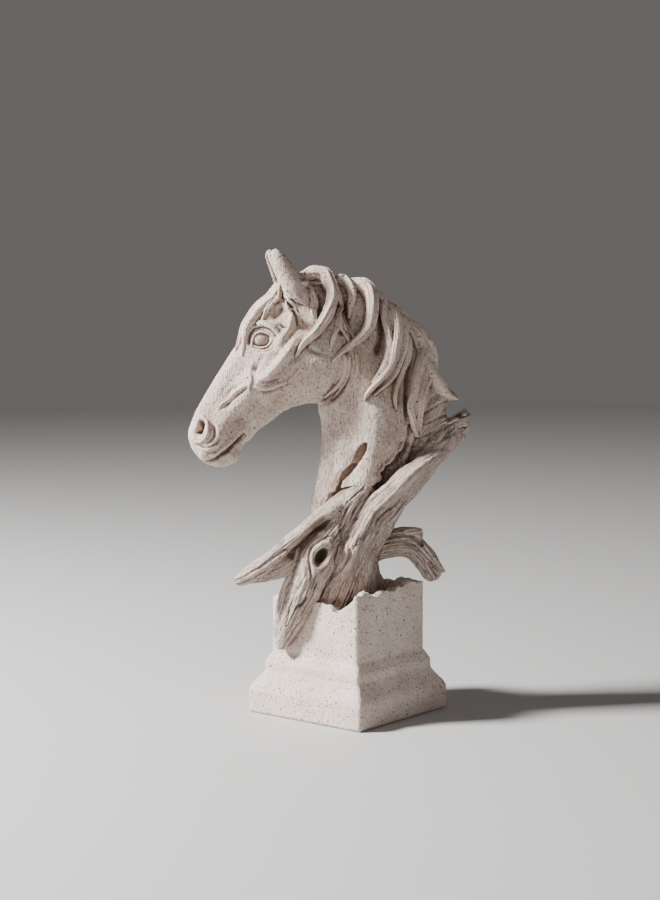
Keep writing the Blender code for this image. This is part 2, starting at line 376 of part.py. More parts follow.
WOOD = [
    ([(-34, 119), (-38.5, 110), (-43.5, 97), (-48.5, 80), (-53, 66)], 2.4, -1.2, {"side": -1}),
    ([(-19.4, 135.5), (-18.4, 141.5), (-20.6, 145.4), (-27.6, 142.8), (-32.8, 136), (-33.1, 128.8),
      (-29.6, 124.9),
      (-23.4, 128.4), (-19.4, 135.5)], 2.5, 3.0, {"ends": 0, "side": -1}),
    ([(-16, 151), (-24, 149), (-33, 143), (-36.6, 134), (-35.8, 125), (-34.5, 117), (-38, 106)], 1.7, -2.8,
     {"side": -1}),
    ([(-16, 151), (-14.6, 143), (-16.8, 133.5), (-22.6, 125), (-29, 119),
      (-35, 109)], 1.7, -2.8, {"side": -1}),
    ([(-20, 154), (-30, 151), (-38, 144), (-41, 133.5), (-39.6, 122), (-42, 110)], 2.3, 1.7, {"side": -1}),
    ([(-12.6, 155.5), (-10.4, 143.5), (-12.8, 131.5), (-19.5, 120), (-27.5, 108)], 2.3, 2.0, {"side": -1}),
    ([(-30, 121.5), (-34, 112), (-40.5, 98), (-46.5, 82)], 1.7, -1.8, {"side": -1}),
    ([(-13, 171), (-17.5, 161), (-26.5, 153.2), (-38, 147), (-44.5, 138),
      (-47.5, 126)], 2.8, 1.8, {"side": -1}),
    ([(-7, 150), (-5, 138), (-10, 124), (-20, 112), (-30, 96)], 2.2, 1.2, {"side": -1}),
    ([(-38, 121), (-44, 110), (-50, 97), (-55, 82)], 1.8, -1.6, {"side": -1}),
    ([(-25, 119), (-31, 108), (-38, 93), (-45, 78)], 2.0, -1.8, {"side": -1}),
    ([(-20.5, 164.5), (-26, 160), (-33, 153.5), (-40, 146), (-46, 139), (-51, 131)], 6.5, -2.4,
     {"side": -1, "ends": 0.08}),
    ([(-4, 143), (-3.4, 133.5), (-10.5, 123), (-20, 112),
      (-27, 98)], 2.4, -2.4, {"ends": 0.15, "side": -1}),
    ([(-11, 148), (-10, 159), (-6, 169), (0, 178)], 1.9, -1.5, {"side": -1}),
    ([(-7.5, 145), (-3.5, 159), (2, 171), (9, 181)], 1.9, -1.6, {"side": -1}),
    ([(-4, 142), (2, 156), (9, 169), (17, 178.5)], 1.9, -1.6, {"side": -1}),
    ([(0, 140), (8.5, 153), (16.5, 165.5), (26.5, 176.5)], 1.9, -1.5, {"side": -1}),
    ([(4, 138), (14, 155), (26, 169), (38, 180)], 2.0, -1.4, {"side": -1}),
    ([(8, 130), (20, 150), (34, 166), (50, 184), (64, 200)], 2.2, -1.6, {"side": -1}),
    ([(-38, 153), (-56, 139.5), (-72, 127.5), (-86, 118.5)], 2.0, -1.4),
    ([(-30, 152), (-50, 137), (-66, 124.5)], 1.8, -1.2, {"side": -1}),
    ([(24, 143), (38, 146.5), (50, 146), (59, 140), (66, 130), (73, 119)], 2.4, -2.4),
    ([(26, 136), (40, 139), (52, 137), (60, 129), (66, 119)], 2.2, -1.8),
    ([(66, 124), (71, 115), (74, 110)], 2.4, -3.0, {"ends": 0.05}),
    ([(52, 236), (66, 240), (82, 246), (98, 250)], 1.8, -1.3),
    ([(52, 244), (64, 249), (76, 256), (86, 258)], 1.8, -1.3),
    ([(50, 226), (66, 230), (82, 237), (98, 244)], 1.8, -1.4),
    ([(46, 214), (62, 219), (80, 228), (96, 236)], 1.8, -1.2),
    ([(-13, 182), (-10, 162), (-3, 142), (5, 120), (9, 100)], 2.4, -1.6, {"side": 1}),
    ([(14, 186), (2, 164), (-8, 140), (-15, 118), (-19, 98)], 2.2, -1.8, {"side": 1}),
    ([(42, 202), (31, 184), (24, 160), (19, 134), (17, 108)], 2.4, -1.8, {"side": 1}),
]

# The hollow where a branch has rotted out: middle x, z, half-width, half-height, lean, depth.

KNOT_HOLE = (-26.3, 134.9, 4.9, 6.9, 0.42, 9.5)


# Numbers

def smooth_rows(rows, count):
    """count rows on a smooth curve through the given rows, evenly spaced along its first three columns."""
    rows = np.asarray(rows, float)
    n = len(rows)
    if n == 2:
        t = np.linspace(0, 1, count)[:, None]
        return rows[0] * (1 - t) + rows[1] * t
    padded = np.vstack([2 * rows[0] - rows[1], rows, 2 * rows[-1] - rows[-2]])
    fine = []
    steps = 16
    for i in range(n - 1):
        p0, p1, p2, p3 = padded[i:i + 4]
        t = np.linspace(0, 1, steps, endpoint=False)[:, None]
        fine.append(0.5 * (2 * p1 + (p2 - p0) * t + (2 * p0 - 5 * p1 + 4 * p2 - p3) * t**2
                           + (3 * p1 - p0 - 3 * p2 + p3) * t**3))
    fine.append(rows[-1:])
    fine = np.vstack(fine)
    run = np.r_[0, np.cumsum(np.linalg.norm(np.diff(fine[:, :3], axis=0), axis=1))]
    want = np.linspace(0, run[-1], count)
    return np.stack([np.interp(want, run, fine[:, k]) for k in range(rows.shape[1])], 1)


def unit(v):
    v = np.asarray(v, float)
    return v / np.maximum(np.linalg.norm(v, axis=-1, keepdims=True), 1e-12)


def lattice(ix, iy, iz, seed):
    h = (ix.astype(np.uint32) * np.uint32(374761393) + iy.astype(np.uint32) * np.uint32(668265263)
         + iz.astype(np.uint32) * np.uint32(2246822519) + np.uint32(seed * 3266489917 & 0xFFFFFFFF))
    h = (h ^ (h >> np.uint32(13))) * np.uint32(1274126177)
    h = h ^ (h >> np.uint32(16))
    return (h & np.uint32(0xFFFF)).astype(np.float64) / 32767.5 - 1.0


def noise(points, seed=0):
    """Smooth value noise in -1..1 at each point, with one cell per unit."""
    cell = np.floor(points).astype(np.int64)
    f = points - cell
    f = f * f * (3 - 2 * f)
    total = 0
    for dx in (0, 1):
        wx = f[:, 0] if dx else 1 - f[:, 0]
        for dy in (0, 1):
            wy = f[:, 1] if dy else 1 - f[:, 1]
            for dz in (0, 1):
                wz = f[:, 2] if dz else 1 - f[:, 2]
                corner = lattice(cell[:, 0] + dx, cell[:, 1] + dy, cell[:, 2] + dz, seed)
                total = total + wx * wy * wz * corner
    return total


def fractal(points, octaves=3, seed=0):
    total, weight = 0, 1.0
    for k in range(octaves):
        total = total + weight * noise(points * 2**k, seed + k)
        weight *= 0.5
    return total


# Meshes

def mesh_object(name, points, faces, collection=None):
    mesh = bpy.data.meshes.new(name)
    mesh.from_pydata([tuple(p) for p in np.asarray(points)], [], faces)
    mesh.validate()
    obj = bpy.data.objects.new(name, mesh)
    (collection or bpy.context.scene.collection).objects.link(obj)
    return obj


def loft(name, rings):
    """A closed body through rings of equal point count; each end is closed by a fan."""
    rings = np.asarray(rings, float)
    n, m = rings.shape[:2]
    points = np.vstack([rings.reshape(-1, 3), rings[0].mean(0), rings[-1].mean(0)])
    faces = [(i * m + j, i * m + (j + 1) % m, (i + 1) * m + (j + 1) % m, (i + 1) * m + j)
             for i in range(n - 1) for j in range(m)]
    faces += [(n * m, (j + 1) % m, j) for j in range(m)]
    faces += [(n * m + 1, (n - 1) * m + j, (n - 1) * m + (j + 1) % m) for j in range(m)]
    obj = mesh_object(name, points, faces)
    mesh = bmesh.new()
    mesh.from_mesh(obj.data)
    bmesh.ops.recalc_face_normals(mesh, faces=mesh.faces)
    mesh.to_mesh(obj.data)
    mesh.free()
    return obj


def ring_angles(m):
    a = np.linspace(0, 2 * math.pi, m, endpoint=False)
    return np.cos(a), np.sin(a)


def body_between(name, stations, along=60, around=48, power=2.3):
    """A left-right symmetric body. Each station: top x, z, bottom x, z, and its half-widths near the top,
    at the middle and near the bottom."""
    s = np.asarray(stations, float)
    mid = np.stack([(s[:, 0] + s[:, 2]) / 2, (s[:, 1] + s[:, 3]) / 2, np.zeros(len(s))], 1)
    rows = smooth_rows(np.hstack([mid, s]), along)[:, 3:]
    c, q = ring_angles(around)
    up = np.sign(c) * np.abs(c) ** (2 / power)
    side = np.sign(q) * np.abs(q) ** (2 / power)
    rings = []
    for tx, tz, bx, bz, w_top, w_mid, w_low in rows:
        away = np.clip(np.abs(up) / 0.6, 0, 1)
        width = w_mid + (np.where(up > 0, w_top, w_low) - w_mid) * away * away * (3 - 2 * away)
        cx, cz, hx, hz = (tx + bx) / 2, (tz + bz) / 2, (tx - bx) / 2, (tz - bz) / 2
        rings.append(np.stack([cx + up * hx, side * width, cz + up * hz], 1))
    return loft(name, np.array(rings) * U)


def limb(name, stations, along=40, around=28, lumps=0.0, seed=1, power=2.0, blunt=False):
    """A round or flattened limb. Each station: x, y, z, half-width seen from the side, half-depth."""
    rows = smooth_rows(stations, along)
    path = rows[:, :3]
    tangent = unit(np.gradient(path, axis=0))
    across = unit(np.cross(tangent, [0, 1, 0]))
    depth = unit(np.cross(tangent, across))
    c, q = ring_angles(around)
    up = np.sign(c) * np.abs(c) ** (2 / power)
    side = np.sign(q) * np.abs(q) ** (2 / power)
    rings = []
    for i, row in enumerate(rows):
        ring = row[:3] + np.outer(up * row[3], across[i]) + np.outer(side * row[4], depth[i])
        if lumps:
            wave = noise(ring / 14.0, seed) + 0.5 * noise(ring / 6.0, seed + 5)
            ring = row[:3] + (ring - row[:3]) * (1 + lumps * wave)[:, None]
        rings.append(ring)
    rings = np.array(rings)
    if not blunt:
        tip = rings[-1].mean(0)
        ends = [tip + (rings[-1] - tip) * s + tangent[-1] * rows[-1, 3] * t for s, t in ((0.75, 0.35),
        (0.35, 0.6))]
        rings = np.vstack([rings, ends])
    return loft(name, rings * U)


def tree_of(objects):
    points, faces = [], []
    for obj in objects:
        base = len(points)
        points += [obj.matrix_world @ v.co for v in obj.data.vertices]
        faces += [[base + k for k in p.vertices] for p in obj.data.polygons]
    return BVHTree.FromPolygons(points, faces)


def drop(tree, x, z, side, start=0.12):
    """The point and normal of the first surface met from one side, at side-view place x, z (in units)."""
    hit = tree.ray_cast(Vector((x * U, side * start, z * U)), Vector((0, -side, 0)))
    if hit[0] is None:
        near = tree.find_nearest(Vector((x * U, side * 4 * U, z * U)))
        return np.array([x, side * 3.0, z]), np.array(near[1])
    return np.array(hit[0]) / U, np.array(hit[1])


def lock_on(name, sizes, ground, normal, strands=3, around=40, depth=0.22, sway=0.0):
    """A lock of hair over ground points. Each row of sizes: half-width, thickness, lift off the skin."""
    along = len(ground)
    root = np.clip(1 - np.arange(along) / (0.14 * along), 0, 1)
    thinner = np.stack([1 - 0.4 * root, 1 - 0.4 * root, np.ones(along)], 1)
    sizes = sizes * thinner - np.outer(root, [0, 0, 2.5])
    for _ in range(6):
        ground[1:-1] = (ground[:-2] + ground[1:-1] * 2 + ground[2:]) / 4
        normal[1:-1] = (normal[:-2] + normal[1:-1] * 2 + normal[2:]) / 4
    normal = unit(normal)
    centre = ground + normal * sizes[:, 2:3]
    tangent = unit(np.gradient(centre, axis=0))
    across = unit(np.cross(tangent, normal))
    out = unit(np.cross(across, tangent))
    out = out * np.sign((out * normal).sum(1))[:, None]
    c, q = ring_angles(around)
    rings = []
    for i in range(along):
        half, thick = sizes[i, 0], sizes[i, 1]
        groove = 1 - depth * np.abs(np.cos(q * strands * math.pi / 2 + sway * i / along)) ** 3
        rise = np.where(c > 0, np.maximum(c, 0) ** 0.8 * thick * groove, c * thick * 0.9)
        rings.append(centre[i] + np.outer(q * half, across[i]) + np.outer(rise, out[i]))
    rings = np.array(rings)
    tip = rings[-1].mean(0)
    rings = np.vstack([rings, [tip + (rings[-1] - tip) * 0.3 + tangent[-1] * sizes[-1, 0] * 0.8]])
    made = [loft(name, rings * U)]
    return made


def lock(name, tree, route, side=NEAR, **more):
    """A lock of hair laid on the skin. Each row: side-view x, z, half-width, thickness, lift."""
    rows = smooth_rows(np.insert(np.asarray(route, float), 1, 0.0, axis=1), 44)
    got = [drop(tree, r[0], r[2], side) for r in rows]
    return lock_on(name, rows[:, 3:], np.array([g[0] for g in got]), np.array([g[1] for g in got]), **more)


def evaluated_copy(obj, name):
    graph = bpy.context.evaluated_depsgraph_get()
    mesh = bpy.data.meshes.new_from_object(obj.evaluated_get(graph))
    copy = bpy.data.objects.new(name, mesh)
    bpy.context.scene.collection.objects.link(copy)
    copy.matrix_world = obj.matrix_world
    return copy


def drop_object(obj):
    mesh = obj.data
    bpy.data.objects.remove(obj)
    if isinstance(mesh, bpy.types.Mesh) and mesh.users == 0:
        bpy.data.meshes.remove(mesh)


def join(name, objects, keep=False):
    points, faces, base = [], [], 0
    for obj in objects:
        n = len(obj.data.vertices)
        co = np.empty(n * 3)
        obj.data.vertices.foreach_get("co", co)
        points.append(co.reshape(-1, 3))
        faces += [[base + k for k in p.vertices] for p in obj.data.polygons]
        base += n
    joined = mesh_object(name, np.vstack(points), faces)
    if not keep:
        for obj in objects:
            drop_object(obj)
    return joined


def with_modifiers(obj, name, *settings):
    """Adds each (kind, values) modifier, and returns the evaluated result as a new object in its place."""
    for kind, values in settings:
        modifier = obj.modifiers.new(kind.title(), kind)
        for key, value in values.items():
            setattr(modifier, key, value)
    made = evaluated_copy(obj, name)
    drop_object(obj)
    made.name = name
    return made


def remeshed(obj, name, voxel):
    return with_modifiers(obj, name, ("REMESH", {"mode": "VOXEL", "voxel_size": voxel, "adaptivity": 0.0}))


def coordinates(obj):
    co = np.empty(len(obj.data.vertices) * 3)
    obj.data.vertices.foreach_get("co", co)
    return co.reshape(-1, 3)


def set_coordinates(obj, co):
    obj.data.vertices.foreach_set("co", np.ascontiguousarray(co, np.float32).ravel())
    obj.data.update()


def normals(obj):
    n = np.empty(len(obj.data.vertices) * 3, np.float32)
    obj.data.vertices.foreach_get("normal", n)
    return n.reshape(-1, 3).astype(float)


def edges_of(obj):
    e = np.empty(len(obj.data.edges) * 2, np.int32)
    obj.data.edges.foreach_get("vertices", e)
    return e.reshape(-1, 2)


def relax(values, edges, rounds, weight=0.5, mask=None):
    """Repeated averaging of per-vertex values with their neighbours."""
    n = len(values)
    a, b = edges[:, 0], edges[:, 1]
    count = np.bincount(a, minlength=n) + np.bincount(b, minlength=n)
    out = np.array(values, float)
    flat = out.ndim == 1
    if flat:
        out = out[:, None]
    for _ in range(rounds):
        mean = np.empty_like(out)
        for k in range(out.shape[1]):
            total = np.bincount(a, out[b, k], n) + np.bincount(b, out[a, k], n)
            mean[:, k] = total / np.maximum(count, 1)
        w = weight if mask is None else (weight * mask)[:, None]
        out = out + (mean - out) * w
    return out[:, 0] if flat else out


def largest_island(obj):
    """Leaves only the biggest connected shell of a mesh."""
    edges = edges_of(obj)
    n = len(obj.data.vertices)
    label = np.arange(n)
    while True:
        low = np.minimum(label[edges[:, 0]], label[edges[:, 1]])
        new = label.copy()
        np.minimum.at(new, edges[:, 0], low)
        np.minimum.at(new, edges[:, 1], low)
        new = new[new]
        if (new == label).all():
            break
        label = new
    names, count = np.unique(label, return_counts=True)
    if len(names) == 1:
        return obj
    keep = label == names[count.argmax()]
    mesh = bmesh.new()
    mesh.from_mesh(obj.data)
    mesh.verts.ensure_lookup_table()
    bmesh.ops.delete(mesh, geom=[v for v in mesh.verts if not keep[v.index]], context="VERTS")
    mesh.to_mesh(obj.data)
    mesh.free()
    return obj


# Sculpting strokes in the side view

def along_path(co, path):
    """Each vertex's side-view distance to a polyline, and its share of the way along it."""
    path = np.asarray(path, float)
    x, z = co[:, 0], co[:, 2]
    if len(path) == 1:
        return np.hypot(x - path[0, 0], z - path[0, 1]), np.full(len(co), 0.5)
    run = np.r_[0, np.cumsum(np.hypot(*np.diff(path, axis=0).T))]
    best, share = np.full(len(co), 1e9), np.zeros(len(co))
    for i in range(len(path) - 1):
        a, d = path[i], path[i + 1] - path[i]
        t = np.clip(((x - a[0]) * d[0] + (z - a[1]) * d[1]) / (d @ d), 0, 1)
        far = np.hypot(x - a[0] - t * d[0], z - a[1] - t * d[1])
        closer = far < best
        best = np.where(closer, far, best)
        share = np.where(closer, (run[i] + t * (run[i + 1] - run[i])) / run[-1], share)
    return best, share


def stroke(co, nrm, rows, radius, height, side=0, sharp=1.0, ends=0.25):
    """Swells (or sinks) the skin along a path. ends is the share of it over which each end fades."""
    path = np.asarray(rows, float)
    if len(path) > 2:
        path = smooth_rows(np.insert(path, 1, 0.0, axis=1), 5 * len(path))[:, [0, 2]]
    far, share = along_path(co, path)
    fall = np.clip(1 - far / radius, 0, 1)
    fall = (fall * fall * (3 - 2 * fall)) ** sharp
    if ends and len(path) > 1:
        fall = fall * np.clip(np.minimum(share, 1 - share) / ends + 0.15, 0, 1)
    fall = fall * np.clip(np.abs(nrm[:, 1]) * 1.8 - 0.1, 0, 1)
    if side:
        fall = fall * (co[:, 1] * side > 0)
    return fall * height


def strokes(co, nrm, table, scale=1.0):
    total = np.zeros(len(co))
    for row in table:
        path, radius, height = row[:3]
        more = row[3] if len(row) > 3 else {}
        total = total + stroke(co, nrm, path, radius, height * scale, **more)
    return total


# Parts of the figure

def plate(name, outline, y_mid, half, rim):
    """A flat board with soft edges from a side-view outline."""
    flat = np.asarray(outline, float)
    flat = smooth_rows(np.insert(flat, 1, 0.0, axis=1), len(flat) * 2)[:, [0, 2]] if rim == 0 else flat
    area = 0.5 * np.sum(flat[:, 0] * np.roll(flat[:, 1], -1) - flat[:, 1] * np.roll(flat[:, 0], -1))
    before, after = flat - np.roll(flat, 1, axis=0), np.roll(flat, -1, axis=0) - flat
    direction = unit(unit(before) + unit(after))
    inward = np.stack([-direction[:, 1], direction[:, 0]], 1) * np.sign(area)
    n = len(flat)
    levels = [(-1, rim), (-0.8, rim * 0.4), (-0.35, 0), (0.35, 0), (0.8, rim * 0.4), (1, rim)]
    points = []
    for level, inset in levels:
        at = flat + inward * inset
        points += [(p[0] * U, (y_mid + level * half) * U, p[1] * U) for p in at]
    m = len(levels)
    faces = [(i * n + j, i * n + (j + 1) % n, (i + 1) * n + (j + 1) % n, (i + 1) * n + j)
             for i in range(m - 1) for j in range(n)]
    faces += [tuple(range(n)), tuple(range((m - 1) * n, m * n))[::-1]]
    obj = mesh_object(name, points, faces)
    mesh = bmesh.new()
    mesh.from_mesh(obj.data)
    bmesh.ops.recalc_face_normals(mesh, faces=mesh.faces)
    bmesh.ops.triangulate(mesh, faces=mesh.faces)
    mesh.to_mesh(obj.data)
    mesh.free()
    return obj


def prism(name, outline, y0, y1):
    """A straight-sided cutter: a side-view outline, extruded from y0 to y1."""
    mesh = bmesh.new()
    face = mesh.faces.new([mesh.verts.new((x * U, y0 * U, z * U)) for x, z in outline])
    swept = bmesh.ops.extrude_face_region(mesh, geom=[face])
    moved = [v for v in swept["geom"] if isinstance(v, bmesh.types.BMVert)]
    bmesh.ops.translate(mesh, vec=(0, (y1 - y0) * U, 0), verts=moved)
    bmesh.ops.recalc_face_normals(mesh, faces=mesh.faces)
    bmesh.ops.triangulate(mesh, faces=mesh.faces)
    data = bpy.data.meshes.new(name)
    mesh.to_mesh(data)
    mesh.free()
    obj = bpy.data.objects.new(name, data)
    bpy.context.scene.collection.objects.link(obj)
    return obj


def cut(obj, name, cutters):
    for cutter in cutters:
        modifier = obj.modifiers.new("Cut", "BOOLEAN")
        modifier.operation = "DIFFERENCE"
        modifier.solver = "EXACT"
        modifier.object = cutter
    made = evaluated_copy(obj, name)
    drop_object(obj)
    for cutter in cutters:
        drop_object(cutter)
    return made


def ear(name, base, tip, bend, side, across):
    """A cupped leaf that opens forwards."""
    base, tip = np.array(base, float), np.array(tip, float)
    t = np.linspace(0, 1, 30)
    axis = tip - base
    spine = base + np.outer(t, axis) + np.outer(np.sin(t * math.pi) * bend, [-1, 0, 0.3])
    width = np.interp(t, [0, 0.15, 0.35, 0.6, 0.8, 0.92, 0.98, 1],
                      [0.85, 1.0, 0.95, 0.76, 0.61, 0.42, 0.24, 0.06]) * across
    along = unit(np.gradient(spine, axis=0))
    facing = unit(np.array([-0.97, side * -0.12, 0.0]))
    rings = []
    outer = np.radians(np.linspace(-128, 128, 21))
    inner = np.radians(np.linspace(112, -112, 15))
    for i in range(len(t)):
        f = unit(facing - along[i] * (facing @ along[i]))
        s = unit(np.cross(along[i], f))
        w = width[i]
        wall = min(0.34 * w, 2.4) * np.interp(t[i], [0, 0.12, 1], [2.2, 1.0, 1.0])
        back = np.outer(-np.cos(outer) * w, f) + np.outer(np.sin(outer) * w * 0.92, s)
        cup = np.outer(-np.cos(inner) * (w - wall), f) + np.outer(np.sin(inner) * (w * 0.92 - wall), s)
        rings.append(spine[i] + np.vstack([back, cup]))
    return loft(name, np.array(rings) * U)


def ball(name, centre, radii, segments=28):
    mesh = bmesh.new()
    bmesh.ops.create_uvsphere(mesh, u_segments=segments, v_segments=segments * 2 // 3, radius=1.0)
    bmesh.ops.scale(mesh, vec=Vector(radii) * U, verts=mesh.verts)
    bmesh.ops.translate(mesh, vec=Vector(centre) * U, verts=mesh.verts)
    data = bpy.data.meshes.new(name)
    mesh.to_mesh(data)
    mesh.free()
    obj = bpy.data.objects.new(name, data)
    bpy.context.scene.collection.objects.link(obj)
    return obj


def laid(name, tree, route, **more):
    """A lock over the nearest skin, from rows of x, y, z, half-width, thickness and lift."""
    rows = smooth_rows(route, 44)
    ground, normal = [], []
    for r in rows:
        hit = tree.find_nearest(Vector(r[:3] * U))
        ground.append(np.array(hit[0]) / U)
        normal.append(np.array(hit[1]))
    return lock_on(name, rows[:, 3:], np.array(ground), np.array(normal), **more)


# The bust and the wood

def bust_skin(voxel):
    """Head, neck and ears without hair, joined, with the broad strokes on them."""
    neck = body_between("neck", NECK, 64, 56)
    cutters = [prism("tear", TEAR, -60, -19.5), prism("tear end", TEAR[5:17], -60, -15)]
    for side, edge in ((NEAR, NECK_EDGE), (-NEAR, FAR_EDGE)):
        cutters.append(prism("below", edge + [(90, 100), (-60, 100)], side * 15, side * 60))
    for cutter in cutters:
        neck = cut(neck, "neck", [cutter])
    head = body_between("head", HEAD, 70, 56)
    ears = [ear("ear", (-45 - s * 1.2, s * 13.5, 334), (-65.2 - s * 1.2, s * 18, EAR_TIP), -2.6, s, 12.2)
            for s in (-1, 1)]
    skin = remeshed(join("skin", [head, neck] + ears), "skin", voxel)
    co, nrm, edges = coordinates(skin) / U, normals(skin), edges_of(skin)
    co = relax(co, edges, 3, 0.5)
    set_coordinates(skin, co * U)
    nrm = unit(relax(normals(skin), edges, 4))
    keep = (co[:, 2] < 352) | (co[:, 0] > -40)
    co = co + nrm * (strokes(co, nrm, BROAD) * keep)[:, None]
    below = np.array([(-8, 266), (-24, 257), (-46, 252), (-64, 239), (-80, 227)], float)
    far, share = along_path(co, below)
    dip = np.clip(1 - np.abs(co[:, 1]) / 11, 0, 1) ** 1.2 * np.clip(1 - far / 9, 0, 1)
    dip = dip * np.clip(-nrm[:, 2] * 2, 0, 1) * np.clip(np.minimum(share, 1 - share) / 0.15, 0, 1)
    co = co - nrm * (dip * 5.0)[:, None]
    set_coordinates(skin, co * U)
    return skin


def eye_parts(tree, segments=28):
    """Both eyeballs and the thin rims of their lids."""
    x, z = EYE
    made = []
    for side in (-1, 1):
        middle = drop(tree, x, z, side)[0][1]
        for name, path, radius in (("upper lid", UPPER_LID, 0.95), ("lower lid", LOWER_LID, 0.75)):
            rows = smooth_rows(np.insert(np.asarray(path, float), 1, 0.0, axis=1), 40)
            skin = [[side * drop(tree, x + (px - x) * k, z + (pz - z) * k, side)[0][1] for k in (1.0, 1.35)]
                    for px, _, pz in rows]
            skin = side * np.max(skin, axis=1)
            for _ in range(8):
                skin[1:-1] = (skin[:-2] + 2 * skin[1:-1] + skin[2:]) / 4
            share = np.linspace(0, 1, len(rows))
            rows[:, 1] = 0.6 * skin + 0.4 * (middle + side * 3.0) + side * 0.8 * np.sin(math.pi * share)
            sizes = radius * (0.55 + 0.45 * np.sqrt(np.sin(math.pi * share)))
            made.append(limb(name, np.column_stack([rows, sizes, sizes * 1.5]), 60, 14))
        made.append(ball("eye", (x, middle + side * 0.7, z), (7.2, 4.3, 6.1), segments))
    return made


def near_hair(tree):
    made = []
    for name, route in NEAR_LOCKS.items():
        made += lock(name, tree, route, NEAR)
    return made


def far_hair(tree):
    made = []
    for name, route in FAR_LOCKS.items():
        made += lock(name, tree, route, -NEAR)
    return made


def crest_hair(tree):
    made = []
    for name, route in CREST.items():
        made += laid(name, tree, route)
    power, rows = FLICK
    made.append(limb("flick", rows, 40, 24, 0.06, 8, power))
    return made


def forelock(tree):
    made = []
    for name, route in FORELOCK.items():
        made += laid(name, tree, route)
    return made


def hair(tree):
    return near_hair(tree) + far_hair(tree) + crest_hair(tree) + forelock(tree)


def carved(obj, table, smooth=2):
    """The fine strokes, on a lightly smoothed mesh."""
    co, edges = coordinates(obj) / U, edges_of(obj)
    co = relax(co, edges, smooth, 0.5)
    set_coordinates(obj, co * U)
    nrm = unit(relax(normals(obj), edges, 2))
    set_coordinates(obj, (co + nrm * strokes(co, nrm, table)[:, None]) * U)
    return obj


def bust(voxel, skin_voxel):
    skin = bust_skin(skin_voxel)
    tree = tree_of([skin])
    whole = remeshed(join("bust", [skin] + eye_parts(tree) + hair(tree)), "bust", voxel)
    return carved(largest_island(whole), FINE)


def dug(obj, hole):
    """A steep-sided hole sunk straight in from the near side."""
    x, z, wide, high, lean, depth = hole
    co = coordinates(obj) / U
    across = (co[:, 0] - x) - (co[:, 2] - z) * lean
    off = (across / wide) ** 2 + ((co[:, 2] - z) / high) ** 2
    near = (co[:, 1] < -22) & (normals(obj)[:, 1] < 0.3)
    co[:, 1] += depth * np.clip(1 - off, 0, 1) ** 0.8 * near
    set_coordinates(obj, co * U)
    return obj


def wood(voxel):
    parts = [limb(name, rows, 60, 32, 0.10, 3 + i, power)
             for i, (name, (power, rows)) in enumerate(LIMBS.items())]
    parts.append(plate("slab", SLAB, -1, 9, 4))
    whole = remeshed(join("wood", parts), "wood", voxel)
    return dug(carved(largest_island(whole), WOOD, 3), KNOT_HOLE)


# The plinth

# The sloped moulding and the cove, as shares of their width and height

SLOPE = [(0, 0), (0.15, 0.23), (0.48, 0.5), (0.77, 0.74), (1, 1)]
COVE = [(0, 0), (0.48, 0.53), (1, 1)]

# The broken top: places on the plan as shares of the block's half diagonal, and their height there
# as a share of BLOCK_HEIGHT

BREAK = [(-0.99, -0.03, -0.18), (-0.93, 0, -0.15), (-0.77, -0.22, -0.18), (-0.42, -0.58, -0.15),
         (-0.32, -0.67, -0.18),
         (-0.24, -0.75, -0.28), (-0.16, -0.83, -0.2), (-0.08, -0.91, -0.11), (0, -0.99, 0.02),
         (0.13, -0.86, 0.045),
         (0.26, -0.74, -0.04), (0.38, -0.61, 0), (0.53, -0.46, -0.03), (0.64, -0.35, 0.02),
         (0.77, -0.22, 0.07),
         (0.9, -0.1, 0.055), (0.99, 0, 0.04), (0.8, 0.22, 0.055), (0.61, 0.42, 0), (0.42, 0.61, 0.04),
         (0.19, 0.8, -0.02), (0, 0.99, 0), (-0.19, 0.8, -0.07), (-0.38, 0.61, -0.04), (-0.58, 0.42, -0.13),
         (-0.77, 0.22, -0.11), (0, 0, -0.09), (-0.38, -0.29, -0.26), (-0.16, -0.58, -0.29),
         (0.16, -0.48, -0.13),
         (0.42, -0.16, -0.07), (0.48, 0.26, -0.055), (0, 0.48, -0.09), (-0.42, 0.13, -0.17)]

BAND_BOTTOM = FOOT_HEIGHT + SLOPE_HEIGHT
BLOCK_BOTTOM = BAND_BOTTOM + BAND_HEIGHT + COVE_HEIGHT
BLOCK_TOP = BLOCK_BOTTOM + BLOCK_HEIGHT


def plinth_profile(top):
    """The plinth's outer side over its corners, from the given top down to the foot."""
    foot, band, block = (side / math.sqrt(2) for side in (FOOT_SIDE, BAND_SIDE, BLOCK_SIDE))
    slope = [(foot + (band - foot) * a, FOOT_HEIGHT + SLOPE_HEIGHT * b) for a, b in SLOPE]
    cove = [(band + (block - band) * a, BAND_BOTTOM + BAND_HEIGHT + COVE_HEIGHT * b) for a, b in COVE]
    return [(block, top)] + cove[::-1] + slope[::-1] + [(foot, 0)]


def broken_height(x, y):
    """The height of the broken top over places on the plan, from the chosen places around each."""
    half = BLOCK_SIDE / math.sqrt(2)
    places = np.array(BREAK)
    gap = (places[:, 0] - x[:, None] / half) ** 2 + (places[:, 1] - y[:, None] / half) ** 2 + 0.0005
    weight = 1 / gap**2
    level = (places[:, 2] * weight).sum(1) / weight.sum(1)
    rough = 0.016 * noise(np.stack([x / half * 15, y / half * 15, np.full(len(x), 0.5)], 1), 9)
    return BLOCK_TOP + (level + rough) * BLOCK_HEIGHT


